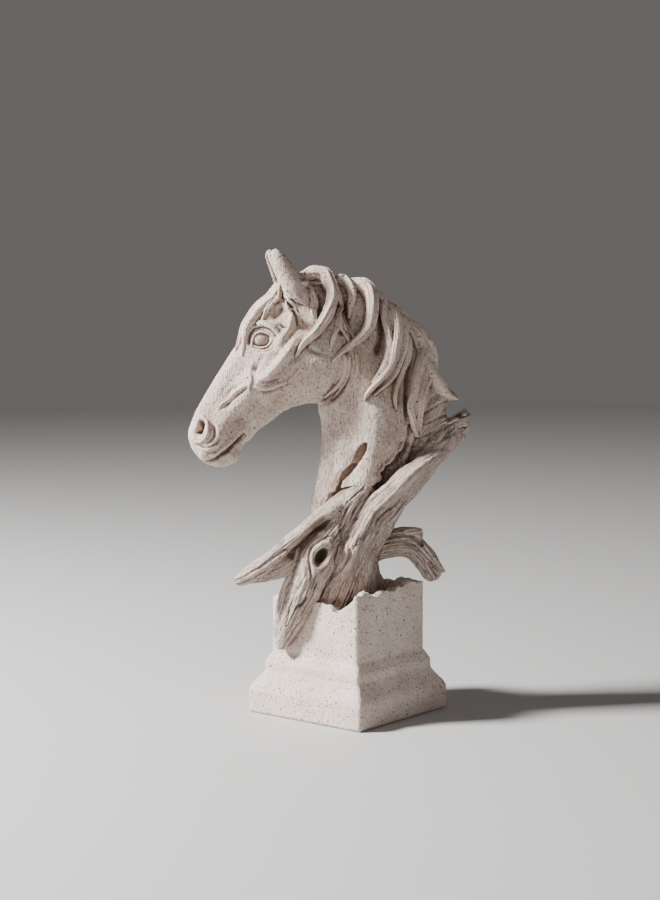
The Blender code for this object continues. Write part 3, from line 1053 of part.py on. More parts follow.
def plinth(collection, cells):
    """The moulded block as a screw of four steps, with its top broken off by a rough cutter."""
    top = BLOCK_TOP + 0.2 * BLOCK_HEIGHT
    points = [(0, 0, top)] + [(r, 0, z) for r, z in plinth_profile(top)] + [(0, 0, 0)]
    block = bpy.data.objects.new("plinth_block", bpy.data.meshes.new("plinth_block"))
    collection.objects.link(block)
    block.data.from_pydata(points, [(i, i + 1) for i in range(len(points) - 1)], [])
    screw = block.modifiers.new("Turn", "SCREW")
    screw.axis = "Z"
    screw.angle = 2 * math.pi
    screw.steps = 4
    screw.render_steps = 4
    screw.use_merge_vertices = True
    screw.merge_threshold = 0.00005
    screw.use_smooth_shade = False
    bevel = block.modifiers.new("Soft edges", "BEVEL")
    bevel.width = EDGE_ROUND
    bevel.segments = 1
    bevel.limit_method = "ANGLE"
    bevel.angle_limit = math.radians(50)

    mesh = bmesh.new()
    reach = BLOCK_SIDE / math.sqrt(2) * 1.06
    bmesh.ops.create_grid(mesh, x_segments=cells, y_segments=cells, size=reach)
    roof = bmesh.ops.extrude_face_region(mesh, geom=mesh.faces[:])
    raised = {part for part in roof["geom"] if isinstance(part, bmesh.types.BMVert)}
    plan = np.array([vertex.co[:2] for vertex in mesh.verts])
    for vertex, height in zip(mesh.verts, broken_height(plan[:, 0], plan[:, 1])):
        vertex.co.z = top + 0.01 if vertex in raised else height
    bmesh.ops.recalc_face_normals(mesh, faces=mesh.faces)
    bmesh.ops.triangulate(mesh, faces=mesh.faces)
    cutter = bpy.data.objects.new("plinth_break", bpy.data.meshes.new("plinth_break"))
    mesh.to_mesh(cutter.data)
    mesh.free()
    collection.objects.link(cutter)
    broken = block.modifiers.new("Broken top", "BOOLEAN")
    broken.operation = "DIFFERENCE"
    broken.solver = "EXACT"
    broken.object = cutter
    return block


def settled(obj):
    """Sets the figure on the plinth: its own scale above the block's top, along the block's faces below."""
    x, y, z = (coordinates(obj) / U).T
    low = np.clip((TOP + 30 - z) / 30, 0, 1)
    low = low * low * (3 - 2 * low)
    plan = U + (BLOCK_SIDE / BLOCK_UNITS - U) * low
    height = BLOCK_TOP + (z - TOP) * np.where(z > TOP, U, BLOCK_HEIGHT / BLOCK_RISE)
    set_coordinates(obj, np.stack([x * plan, y * plan, height], 1))
    return obj


def thinned(obj, name, triangles):
    obj = with_modifiers(obj, name, ("TRIANGULATE", {}))
    share = triangles / len(obj.data.polygons)
    return with_modifiers(obj, name, ("DECIMATE", {"ratio": share, "use_collapse_triangulate": True}))


# The casting

parts = bpy.data.collections.new(NODE)
helpers = bpy.data.collections.new("helpers")
for collection in (parts, helpers):
    bpy.context.scene.collection.children.link(collection)

figure = join("figure", [bust(CELL * U, CELL * U), wood(CELL * U)])
figure = remeshed(figure, "figure", CELL * U)
largest_island(figure)
figure = settled(thinned(figure, NODE, TRIANGLES))
bpy.context.scene.collection.objects.unlink(figure)
parts.objects.link(figure)
figure.name = NODE
figure.data.name = NODE

union = figure.modifiers.new("On the plinth", "BOOLEAN")
union.operation = "UNION"
union.solver = "EXACT"
union.object = plinth(helpers, 25)
for helper in helpers.objects:
    helper.hide_render = True
    helper.display_type = "WIRE"

stone = bpy.data.materials.new("speckled_stone")
stone.use_nodes = True
stone.node_tree.nodes["Principled BSDF"].inputs["Base Color"].default_value = (0.72, 0.66, 0.61, 1)
stone.node_tree.nodes["Principled BSDF"].inputs["Roughness"].default_value = 0.9
stone.node_tree.nodes["Principled BSDF"].inputs["Metallic"].default_value = 0.0
figure.data.materials.clear()
figure.data.materials.append(stone)
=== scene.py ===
import math

import bmesh
import bpy
import numpy as np
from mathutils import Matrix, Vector
from mathutils.bvhtree import BVHTree
from mathutils.kdtree import KDTree


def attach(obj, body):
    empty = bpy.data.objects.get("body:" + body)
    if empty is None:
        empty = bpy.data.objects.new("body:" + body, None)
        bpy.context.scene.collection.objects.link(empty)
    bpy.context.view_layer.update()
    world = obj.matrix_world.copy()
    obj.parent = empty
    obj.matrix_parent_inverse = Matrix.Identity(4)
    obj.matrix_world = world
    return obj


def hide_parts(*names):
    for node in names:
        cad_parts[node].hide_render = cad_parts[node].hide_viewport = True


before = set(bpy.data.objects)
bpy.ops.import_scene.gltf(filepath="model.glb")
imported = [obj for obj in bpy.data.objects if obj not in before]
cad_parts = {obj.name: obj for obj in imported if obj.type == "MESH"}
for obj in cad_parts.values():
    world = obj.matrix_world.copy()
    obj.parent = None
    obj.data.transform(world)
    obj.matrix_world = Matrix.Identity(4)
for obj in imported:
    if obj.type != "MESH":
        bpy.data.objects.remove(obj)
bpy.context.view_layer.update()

# The plinth, in metres

FOOT_SIDE = 0.118        # across the flats of the square foot
FOOT_HEIGHT = 0.0195
SLOPE_HEIGHT = 0.0155    # of the sloped moulding above the foot
BAND_SIDE = 0.099        # across the flats of the band over the slope
BAND_HEIGHT = 0.007
COVE_HEIGHT = 0.0085     # of the hollow moulding between the band and the block
BLOCK_SIDE = 0.090       # across the flats of the block
BLOCK_HEIGHT = 0.0545    # from the cove to the level that the broken top is measured from
EDGE_ROUND = 0.0016      # bevel on the plinth's edges

BAND_BOTTOM = FOOT_HEIGHT + SLOPE_HEIGHT
BLOCK_TOP = BAND_BOTTOM + BAND_HEIGHT + COVE_HEIGHT + BLOCK_HEIGHT

# The figure, from the plinth's top to the ears' points

FIGURE_HEIGHT = 0.275

# The tables of the figure are in units of a 275th of its height, counted from the plinth's underside and
# its middle line.

U = FIGURE_HEIGHT / 275
EAR_TIP = 380.5          # height of the ears' points
NEAR = -1                # the side with the parted mane

# How finely the pieces are made. Cells and reach are in the same units.

SKIN_CELL = 0.65         # cells of the remeshes that join the forms
HAIR_CELL = 0.45
WOOD_CELL = 0.6
PLINTH_CELL = 0.9
BREAK_CELLS = 130        # squares along each side of the plinth's broken top
CURVE_STEPS = 16         # places worked out between two rows of a table
LOCK_ROWS = 44           # rings along a lock
CLEAR = 0.12             # metres from the middle plane, outside everything on it
SKY_RAYS = 8             # ways in which a vertex looks for what shuts it in, and how far
SKY_REACH = 16.0
GOLDEN_TURN = 2.399963
TRIANGLES = {"horse_bust": 190000, "eyes": 90000, "mane_near": 170000, "mane_far": 130000,
             "driftwood": 198000, "plinth": 180000}

# The camera, in metres and degrees

LENS = 73.2              # in mm, on a sensor 36 mm wide
CAMERA_AWAY = 1.5
CAMERA_HEIGHT = 0.347
CAMERA_ROUND = -6.2      # how far round the sculpture it stands from straight before its left side
CAMERA_TURN = -5.62      # which way it looks
CAMERA_DOWN = 4.97

# Head and neck. Each station: top x, z, bottom x, z, and the half-widths near the top, at the middle and
# near the bottom.

HEAD = [
    (-16, 349, 8, 290, 13, 20, 18), (-38, 349, -6, 267, 14, 22, 21), (-58, 343, -22, 254.5, 17, 25, 22),
    (-73, 333, -38, 253, 20, 27, 21), (-84, 317.5, -52, 248, 19, 26, 18),
    (-93.5, 301, -65, 238, 16, 21.5, 15), (-104, 285, -76, 229.5, 13, 17.5, 12.5),
    (-113, 270.5, -86, 222, 11.5, 15, 11), (-121, 257, -89, 212, 11, 15, 12),
    (-127.5, 244, -94, 207, 11.5, 16, 12.5), (-131.3, 232, -104, 203.5, 11, 15, 11.5),
    (-129.5, 221, -112, 205, 9, 12, 9), (-125, 213.5, -117.5, 206.5, 4, 6, 4),
]

NECK = [
    (-34, 352, -46, 285, 9, 14, 12), (-6, 354.5, -30, 258, 10, 18, 16), (21, 342, -24, 246, 11, 20, 17),
    (44, 323, -22, 234, 14, 22.5, 18), (57, 298, -22.5, 218, 18, 26, 18.5),
    (62.5, 269, -25, 202, 22, 28, 19.5), (60, 240, -28, 186, 24.5, 28.5, 20),
    (50, 208, -31, 172, 25.5, 28.5, 19.5), (40, 184, -31, 160, 23, 26, 18), (31, 164, -29, 141, 12, 18, 13),
]

# The neck's ragged lower edge in the side view, and the tear above it

NECK_EDGE = [
    (-60, 150), (-35, 166.5), (-26, 175.5), (-16.3, 182.5), (-7, 187), (2.3, 189.4), (8.4, 188.6),
    (11.5, 187.6), (14.6, 189.8), (18.6, 189.6), (20.6, 192.2), (23.4, 192.4), (25, 196.2), (23, 199.6),
    (26.2, 202.4), (27.7, 205.6), (32, 207.2), (35.9, 211.6), (38.4, 215.8), (42, 217.8), (44.2, 223.4),
    (45.8, 228.8), (46.6, 238.9), (90, 244),
]
FAR_EDGE = [
    (-60, 146), (-36, 152), (-24, 147), (-12, 152), (-2, 159), (8, 157), (20, 169), (30, 177), (40, 191),
    (47, 206), (50, 225), (47.5, 240), (90, 244),
]
TEAR = [
    (13.8, 224.6), (10.6, 225.6), (6.9, 222.9), (4.4, 218), (2.6, 213.4), (0.2, 207.5), (-3.4, 203.6),
    (-6.6, 200.4), (-8.6, 196.4), (-9.9, 190), (-12.4, 184), (-9, 182), (-7.4, 188.3), (-6.2, 192.4),
    (-2.9, 195.4), (1.9, 201.2), (5.9, 207.3), (8.9, 211.3), (12.6, 218.4),
]

# The eye and its lids in the side view

EYE = (-72.3, 308.0)
UPPER_LID = [
    (-80.2, 302.6), (-79.4, 308.6), (-76.8, 312.8), (-72.7, 314.4), (-68.3, 313.3), (-65.2, 311.3),
    (-62.4, 308.4),
]
LOWER_LID = [
    (-79.2, 303.2), (-76.6, 302.2), (-73.1, 301.6), (-69.5, 302.1), (-66.6, 304), (-64.4, 306.6),
    (-63.4, 309.2),
]

# Driftwood. Each limb: how round its section is (2 is an ellipse, less has a ridge), and its stations:
# x, y, z, its half-width seen from the side, its half-depth.

LIMBS = {
    "trunk": (2.0, [(5, -2, 78, 21, 24), (5, -3, 96, 19, 22), (4, -5, 112, 18, 21), (6, -7, 135, 19, 21),
        (17, -9, 154, 18, 21), (33.5, -10, 173.5, 12.5, 20), (51.5, -9, 193.5, 11, 17),
        (67.5, -6, 211, 11, 14), (82, -3, 230, 11.5, 10)]),
    "shoulder": (2.2, [(-22, 0, 168, 6, 12), (-12, 0, 164, 11, 16), (6, 0, 162, 15, 18),
        (28, 0, 174, 13, 17), (44, 0, 192, 9, 14)]),
    "far brace": (1.8, [(-20, 18, 188, 3, 4), (-17, 21, 176, 6, 6), (-14, 22.5, 160, 9, 8),
        (-8, 22, 142, 10, 9), (0, 21, 122, 10, 9), (6, 20, 102, 10, 9), (10, 19, 84, 10, 9)]),
    "ridge": (1.7, [(-4, -24, 138, 8, 9), (6, -27, 156, 8.5, 10), (18, -28.5, 172, 9, 11),
        (31, -29, 183.5, 9, 11), (42, -28, 194, 8.5, 10.5), (53, -25, 202.5, 7.5, 9.5),
        (64, -19, 209, 6.5, 8), (76, -11, 216, 5, 6)]),
    "bridge": (2.4, [(14, -20, 190, 5, 7), (6, -23, 183, 8, 8.5), (-2, -25, 174, 9.5, 8.5),
        (-8, -26, 163, 9.5, 8), (-12, -26, 151, 8.5, 7.5), (-15, -24, 140, 6, 6)]),
    "fan high": (2.2, [(27, -27, 184, 5, 8), (18, -29.5, 172, 7, 9.5), (9, -30.5, 157, 8, 10),
        (1, -29.5, 141, 8.5, 10), (-6, -27.5, 126, 8, 9), (-12, -24, 110, 7, 7)]),
    "prong": (1.8, [(12, -12, 189, 4, 6), (3, -16, 183.5, 6, 8.5), (-7, -20.5, 177, 7, 10.5),
        (-19, -25.5, 169.5, 6.5, 10), (-30.9, -28.5, 161.6, 5.4, 8.5), (-43.9, -29, 150.9, 5.6, 8.5),
        (-56.2, -28, 138.7, 6.4, 8.5), (-68.9, -27, 128, 7, 8.2), (-80, -25.5, 119.8, 7.2, 7.5),
        (-89, -24.5, 115, 6, 6), (-93.5, -24, 113, 4, 4)]),
    "prong web": (2.2, [(-14, -21, 162, 8, 8), (-24, -21, 156, 10, 7.5), (-36, -21.5, 146, 12, 7.5),
        (-48, -22, 135, 13, 8), (-58, -23.5, 126.5, 11.5, 8), (-70, -23.5, 121, 8.5, 7),
        (-82, -23.5, 116, 5.5, 5.5), (-90, -24, 112.5, 3, 4)]),
    "crotch": (2.2, [(16, -15, 186, 6, 9), (7, -18, 177, 9, 11), (-2, -19, 167, 12, 12),
        (-10, -17, 158, 13, 11), (-20, -15.5, 146, 14, 10), (-28, -16, 132, 13, 10)]),
    "skirt": (2.4, [(16, -14, 172, 12, 12), (12, -18, 156, 15, 12), (4, -19, 138, 18, 12),
        (-4, -19, 120, 19, 12), (-12, -18, 102, 19, 12), (-18, -16, 84, 19, 12)]),
    "fan": (2.2, [(24, -24, 180, 7, 8), (16, -26, 167, 10, 9), (6, -26, 150, 13, 9), (-2, -25, 134, 14, 9),
        (-8, -23, 118, 12, 8), (-14, -20, 104, 10, 6)]),
    "far skirt": (2.4, [(4, 10, 164, 12, 12), (4, 13, 148, 15, 12), (0, 14, 130, 17, 12),
        (-2, 14, 112, 18, 12), (-2, 14, 94, 19, 12), (-2, 14, 80, 19, 12)]),
    "knot": (1.8, [(6, -15, 176, 8, 11), (-6, -21, 163, 8, 11), (-15.5, -25.5, 151, 9, 11),
        (-24.5, -28.5, 139, 13, 12), (-31, -29, 124, 14, 12), (-38.5, -28, 105, 13, 11),
        (-45, -24.5, 87, 11, 10), (-51.5, -19.5, 71, 8.5, 8.5), (-57.5, -15, 58, 5, 6.5)]),
    "knot side": (1.9, [(-32, -22, 142, 5.5, 8), (-38.5, -22, 129, 6.5, 8), (-46, -21, 113.5, 7.5, 8),
        (-52.5, -18, 98.5, 7, 7.5), (-56.5, -14, 82.5, 6.2, 7), (-59, -11, 66, 4.5, 6)]),
    "arch": (2.2, [(6, -2, 130, 12, 14), (19.7, -2, 135.5, 12, 12), (30.5, -1, 138.5, 12, 11.5),
        (42, 0, 139, 11.5, 11), (52, 1, 136.5, 11.5, 10.5), (59.5, 1, 129.5, 10.2, 10),
        (65.8, 1, 121.5, 9.6, 9.5), (69.6, 1, 114.5, 9.2, 9), (70.6, 1, 111.5, 8.2, 8)]),
    "stub": (1.8, [(28, -2, 141, 7, 9), (42, -2, 144.5, 7.5, 9), (52, -2, 145.5, 7.2, 8.5),
        (57.5, -2, 145, 7, 8)]),
    "stub back": (1.5, [(46, -6, 147, 5, 5), (54, -6, 149, 4, 4.5), (59.5, -6, 149.5, 2.5, 3)]),
    "arch splinter": (1.6, [(60, -6, 137, 4, 4.5), (68, -6, 128, 3.5, 4), (75, -5, 119.5, 3, 3.5),
        (79.5, -5, 115, 1.5, 1.5)]),
    "arch back splinter": (1.6, [(58, 8, 134, 4, 4), (65, 9, 124, 3.5, 4), (70, 9, 114, 2.5, 2.5)]),
    "buttress": (2.0, [(27, 4, 96, 9, 12), (19, 2, 112, 8, 12), (15, 0, 128, 9, 12)]),
    "front root": (1.8, [(14, -20, 138, 8, 8), (10, -22, 120, 8, 8), (7, -23, 104, 8.5, 8),
        (6, -24, 88, 9, 8)]),
    "back root": (2.0, [(18, 20, 196, 3, 4), (13, 23, 184, 7, 6), (5, 24, 166, 11, 8),
        (-4, 23.5, 146, 12, 9), (-12, 24, 126, 11.5, 9), (-17, 26, 106, 11, 9), (-19, 28, 90, 11, 8)]),
    "far root": (1.8, [(46, 17, 214, 3, 4), (42, 19, 204, 6.5, 7), (33, 20, 186, 10, 9),
        (25, 19, 164, 11, 11), (19.5, 18.5, 140, 10, 11), (15.5, 18, 114, 10, 10), (18, 19, 92, 12, 9)]),
    "slab rib": (2.0, [(56, -3, 228, 11, 11), (66, -3, 244, 12, 10), (74, -3, 260, 10, 8),
        (80, -2, 266, 6, 5)]),
}

SLAB = [
    (62, 288), (73.3, 281), (80, 270), (90.9, 258.6), (80.9, 256.5), (79.3, 249.9), (81.8, 241.8),
    (89.3, 246.4), (96, 250.6), (101.1, 244.8), (99.4, 239.6), (100.4, 234.2), (97, 229.4), (96.4, 224.6),
    (91, 221.8), (87.8, 216.4), (83, 213.6), (80.6, 207.6), (74.4, 203.6), (72.8, 198.8), (66.4, 195.8),
    (61.6, 188.4), (55.8, 184.2), (49.6, 176.3), (36.3, 154), (26, 160), (34, 190), (44, 214), (48, 240),
    (50, 262), (54, 280),
]

# Locks laid on one side. Each row: side-view x, z, half-width, thickness, lift.

NEAR_LOCKS = {
    "poll": [(-44, 358, 4, 5, 0), (-35.5, 359.5, 5, 5.5, 0.5), (-26.5, 360, 5.5, 6, 1.5),
        (-19, 355, 5.5, 8, 4.5), (-15, 346, 5.5, 8, 5), (-15, 336.5, 5.5, 8, 5), (-17.5, 327, 5.2, 8, 5),
        (-22.5, 319, 4.8, 7.5, 4.5), (-29.5, 311.5, 4, 6.5, 4), (-37, 305.5, 3, 5, 3),
        (-42, 299.5, 2, 3.5, 2), (-44.5, 294, 1, 2, 1)],
    "poll inner": [(-41, 354, 3, 4, 1), (-34.5, 349.5, 3.5, 5, 1.5), (-31.5, 339.5, 3.5, 5, 1.5),
        (-30, 330, 3, 5, 1.5), (-28, 321.5, 2, 4, 1), (-25.5, 315.5, 1, 2, 0.5)],
    "second": [(-13, 356.5, 3, 4.5, 1), (-5.5, 354, 4, 5.5, 2), (0, 349, 4, 6, 2.5),
        (2.5, 341.5, 3.5, 6, 2.5), (2, 333.5, 2.5, 4.5, 1.5), (0, 325, 1, 2.5, 0.5)],
    "second fine": [(-10.5, 351, 2, 4, 0.5), (-8.5, 339.5, 2, 4, 0.5), (-8.5, 327.5, 2, 3.5, 0.5),
        (-6.5, 315.5, 1.5, 3, 0.5), (-0.5, 304.5, 1, 2, 0)],
    "under": [(-11, 325.5, 2, 4.5, 0.5), (-13, 315.5, 2, 4.5, 0.5), (-15.5, 307, 2, 3.5, 0.5),
        (-17.5, 299.5, 1, 2, 0)],
    "under two": [(-4.5, 330, 1.5, 3, 0), (-3, 320.5, 1.5, 3, 0), (1, 311, 1.5, 2.5, 0),
        (6.5, 303.5, 0.6, 1.5, 0)],
    "third": [(-1.5, 355, 3.5, 4.5, 1.5), (6.5, 351.5, 5, 6, 3), (13, 345.5, 5.5, 8, 4.5),
        (17, 336.5, 5.5, 8.5, 5.5), (17, 327, 5.4, 8.5, 5.5), (14.5, 317, 5, 8, 5), (8.5, 309, 4.2, 7, 4.5),
        (1, 304, 3.4, 6, 4), (-6.5, 300, 2.5, 5, 3), (-12, 295.5, 1.6, 3.5, 2), (-16, 290.5, 0.9, 2, 1)],
    "throat one": [(-7, 298, 1.7, 3, 0), (-5, 288.5, 2, 3, 0), (-7.5, 277, 2, 3, 0),
        (-13.5, 268, 1.6, 3, 0), (-21, 261, 0.9, 2, 0)],
    "throat two": [(-2, 298.5, 1.6, 3, 0), (0, 288, 1.7, 3, 0), (-2, 278, 1.7, 3, 0),
        (-7, 268, 1.4, 2.5, 0), (-13.5, 260, 0.7, 2, 0)],
    "throat three": [(3.5, 299.5, 1.5, 2.5, 0), (5, 289, 1.6, 2.5, 0), (3.5, 278.5, 1.5, 2, 0),
        (-1.5, 269, 0.7, 1.5, 0)],
    "fourth base": [(28, 338, 5, 4, 0), (33, 329, 7, 5, 1), (36.5, 317, 8, 5.5, 2),
        (36.5, 305, 8, 5.5, 2.5), (34, 293.5, 7, 5.5, 2.5), (29.5, 283.5, 5.5, 5, 2.5),
        (23, 275, 4, 4.5, 2), (17, 268, 2, 3, 1)],
    "fourth left": [(15.5, 347, 3, 4.5, 1.5), (23.5, 341, 4, 6, 2.5), (30, 331.5, 4, 7, 4),
        (32, 320.5, 3.7, 7, 4.5), (32, 309, 3.6, 7, 4.5), (30, 298, 3.4, 6.5, 4.5), (26.5, 288, 3, 6, 4),
        (22, 280, 2.3, 5, 3), (16.5, 273, 1.1, 3, 1.5)],
    "fourth": [(27, 339.5, 3.2, 4.5, 1.5), (34, 331, 4, 6.5, 3), (37, 319.5, 4.1, 7.5, 4.5),
        (37, 307.5, 4, 8, 5), (34.5, 296, 3.8, 8, 5.5), (30.5, 285.5, 3.5, 7.5, 5.5), (24, 277, 3, 7, 5),
        (17.5, 269.5, 2.6, 6, 4), (13, 264.5, 2, 5, 3), (11, 259, 0.9, 2.5, 1.5)],
    "fourth right": [(36, 331, 3.2, 4.5, 1.5), (41.5, 320.5, 3.7, 6, 3), (43, 309, 3.7, 6.5, 3.5),
        (41.5, 297, 3.6, 6.5, 3.5), (37.5, 286.5, 3.2, 6, 3.5), (32, 277, 2.7, 5.5, 3),
        (25, 269.5, 2, 4.5, 2.5), (18, 263, 1, 3, 1.5)],
    "fifth": [(44, 315.5, 2.7, 4.5, 1.5), (46.5, 304, 2.7, 5, 2), (45.5, 292, 2.6, 5, 2),
        (41, 281, 2.4, 4.5, 2), (36.5, 271, 2, 4, 2), (34.5, 261.5, 1.6, 4, 2), (35.5, 251.5, 0.8, 2.5, 1)],
    "back base": [(52, 318, 4, 4, 0), (58, 308, 6.5, 4.5, 1), (60.5, 296, 8, 5, 2), (59.5, 283, 8, 5, 2.5),
        (56.5, 270, 7.5, 5, 2.5), (54.5, 257, 6.5, 5, 2.5), (53, 244, 4.5, 4.5, 2), (53, 233, 2, 3, 1)],
    "seventh": [(48, 322, 3.2, 4.5, 1.5), (54, 312.5, 3.6, 5.5, 3), (56.5, 301, 3.4, 6.5, 4),
        (54.5, 289.5, 3.2, 6.5, 4.5), (51.5, 276.5, 3.2, 6.5, 4.5), (50, 264, 3.2, 6.5, 4.5),
        (49, 251, 2.9, 6.5, 4.5), (50, 239.5, 2.4, 5.5, 4), (53, 229, 1, 3, 2)],
    "eighth": [(55.5, 313, 3.2, 4.5, 1.5), (61.5, 302.5, 3.8, 6, 3), (63.5, 291, 3.8, 6.5, 4),
        (61.5, 280, 3.6, 6.5, 4), (57.5, 269.5, 3.3, 6, 4), (55.5, 259, 2.9, 6, 3.5),
        (54.5, 249, 2.4, 5, 3), (54.5, 239.5, 1.7, 4, 2.5), (55, 231, 0.8, 2.5, 1.5)],
    "ninth": [(62, 303.5, 2.7, 4.5, 1.5), (66, 293, 3.2, 5.5, 2), (66, 282.5, 3.2, 5.5, 2.5),
        (64, 272.5, 3, 5, 2.5), (61, 263.5, 2.4, 4.5, 2), (59, 255.5, 1.8, 4, 2), (58, 246.5, 0.8, 2, 1)],
}

FAR_LOCKS = {
    "far poll": [(-41, 357, 6, 5, 2), (-30, 359.5, 6.5, 6, 3), (-18, 355, 6.5, 7, 4),
        (-12, 343, 6.2, 7.5, 4), (-13, 329, 5.8, 7.5, 4), (-20, 315, 5.2, 7, 4), (-30, 303, 3.4, 5, 2),
        (-38, 295, 1.4, 3, 1)],
    "far second": [(-12, 354, 5.5, 5, 1.5), (0, 349, 6.5, 6.5, 3), (8, 337, 6.2, 7, 3.5),
        (9, 322, 6, 7, 3.5), (4, 307, 5, 6, 3), (-5, 294, 3.4, 5, 2), (-12, 285, 1.4, 3, 1)],
    "far third": [(8, 349, 6, 5, 1.5), (20, 340, 6.8, 6.5, 3), (27, 326, 6.8, 7, 4), (28, 309, 6.4, 7, 4),
        (23, 292, 5.6, 7, 3.5), (14, 276, 3.8, 5, 2), (6, 264, 1.4, 3, 1)],
    "far fourth": [(28, 338, 6, 5, 1.5), (40, 325, 6.8, 6.5, 3), (46, 309, 6.8, 7, 4), (46, 291, 6.2, 7, 4),
        (41, 273, 5.2, 6.5, 3), (33, 257, 3.2, 4.5, 1.5), (26, 246, 1.3, 3, 0.5)],
    "far fifth": [(45, 324, 6, 5, 1.5), (57, 308, 6.8, 6.5, 3), (62, 290, 6.8, 7, 3.5), (60, 271, 6, 7, 3),
        (54, 253, 4.4, 5.5, 2), (48, 239, 1.5, 3, 1)],
}

# Forelock strands. Each row: x, y, z, half-width, thickness, lift, over the nearest skin.

FORELOCK = {
    "fore near": [(-52, -6, 350, 3.5, 4, 1), (-61, -9, 348, 3.8, 4, 1), (-72, -12, 342, 3.8, 4.5, 1),
        (-81, -14, 333, 3.6, 4.5, 1), (-86, -15, 321, 3, 4, 0.8), (-88.5, -15, 308, 2.2, 3, 0.5),
        (-89, -15, 295, 1, 1.6, 0)],
    "fore middle": [(-50, -1, 351, 3.5, 4, 1), (-62, -2, 349, 4, 4.5, 1), (-74, -4, 341, 4, 4.5, 1.2),
        (-83, -6, 331, 3.8, 4.5, 1.2), (-89, -8, 319, 3, 4, 1), (-92.5, -8, 307, 1.8, 2.6, 0.5),
        (-94, -8, 299, 0.8, 1.4, 0)],
    "fore temple": [(-56, -10, 350, 3, 3.5, 1), (-63.5, -13, 346.5, 2.8, 3.5, 0.8),
        (-67, -16, 340.5, 2.5, 3.2, 0.7), (-70.3, -17, 334.5, 2.1, 2.8, 0.5),
        (-72.5, -18, 328.5, 1, 1.6, 0.2)],
    "fore far": [(-50, 4, 351, 4, 4, 1), (-62, 6, 348, 4.4, 4.5, 1), (-74, 9, 340, 4.2, 4.5, 1.2),
        (-83, 11, 329, 3.8, 4.5, 1), (-88, 12, 316, 2.8, 3.5, 0.6), (-90.5, 12, 303, 1.1, 1.8, 0)],
}

# The roll of hair along the crest, and the flick that stands out behind. Rows as for the forelock.

CREST = {
    "crest front": [(-45, 0, 360, 4, 2.5, 0), (-30, 0, 365, 7, 2.5, 0), (-14, 0, 362, 8, 2.5, 0),
        (4, 0, 357, 8, 2.5, 0), (20, 0, 350, 7, 2.5, 0), (34, 0, 340, 4, 2, 0)],
    "crest back": [(14, 0, 352, 4, 2, 0), (32, 0, 342, 8, 2.5, 0), (48, 0, 326, 9, 2.5, 0),
        (60, 0, 308, 9, 2.5, 0), (67, 0, 290, 8, 2.5, 0), (70, 0, 272, 6, 2.5, 0), (70, 0, 256, 3, 2, 0)],
}
FLICK = (2.0, [(57, -3, 302, 3, 5), (62, -5, 290, 5, 8), (68, -7, 278, 6, 8.5), (75, -8, 268.5, 6, 6.5),
               (81, -8, 262.5, 3.5, 4.5), (89.5, -7, 258.5, 1, 1.5)])

# Strokes: path (side-view x, z), radius, height, and more.

BROAD = [
    ([(-72, 308)], 13, -3.2),
    ([(-84, 308), (-81, 316), (-73, 320), (-64, 317), (-59, 311)], 6, 3.0),
    ([(-72.3, 308)], 7.6, -2.4, {"sharp": 0.5}),
    ([(-57.6, 335.4), (-57.4, 331.5), (-60.5, 327.6), (-64, 323.6)], 6.5, -2.3),
    ([(-58.5, 341.6), (-52.5, 334.9), (-48.5, 326.5), (-50, 320.4)], 3.4, 2.2, {"ends": 0.2}),
    ([(-48, 325)], 8, 2.6),
    ([(-46, 330), (-49, 320), (-55, 310), (-61, 303)], 5, 2.8),
    ([(-56, 303), (-66, 298), (-76, 299)], 4, 0.8),
    ([(-44, 311), (-50, 301), (-58, 291), (-68, 280.5), (-76, 273)], 5.5, 4.2),
    ([(-38, 307), (-46, 293), (-56, 281.5), (-67, 272.5)], 5, -3.0),
    ([(-60, 300), (-67, 290), (-76, 280)], 7, -1.8),
    ([(-84, 293), (-91, 280), (-99, 266), (-106, 255)], 9, -1.8),
    ([(-24, 288)], 32, 4.4),
    ([(-27, 288)], 20, 1.6),
    ([(-5, 302), (-2.5, 288), (-5, 275), (-12, 263), (-23, 254)], 4.8, -3.8),
    ([(-70, 262), (-80, 250), (-90, 241), (-98, 237)], 9, -3.6),
    ([(-50, 268), (-60, 258), (-72, 247)], 7, -1.6),
    ([(-26, 259), (-46, 254), (-62, 243), (-78, 230)], 6, 1.4),
    ([(-119, 235)], 11, 2.8),
    ([(-96, 211.5)], 8, 2.2),
    ([(-84, 224), (-87.5, 214)], 4, -1.4),
    ([(-5, 251), (-11, 235), (-14, 218), (-16, 194)], 9, -2.2),
    ([(30, 262), (18, 236), (8, 212)], 20, 1.2),
    ([(-6, 343), (-5, 328), (-8, 310)], 9, -7.0, {"side": -1}),
    ([(24, 340), (27, 325), (26, 308), (20, 294)], 6, -6.0, {"side": -1, "ends": 0.15}),
    ([(49, 319), (51, 300), (47, 280), (46, 262), (46, 240)], 4, -4.5, {"side": -1, "ends": 0.15}),
    ([(-27, 330), (-29, 345)], 6, -2.5, {"side": -1}),
    ([(45, 226), (38, 214), (26, 206), (22, 196)], 7, -3.0, {"side": -1, "ends": 0.1}),
]

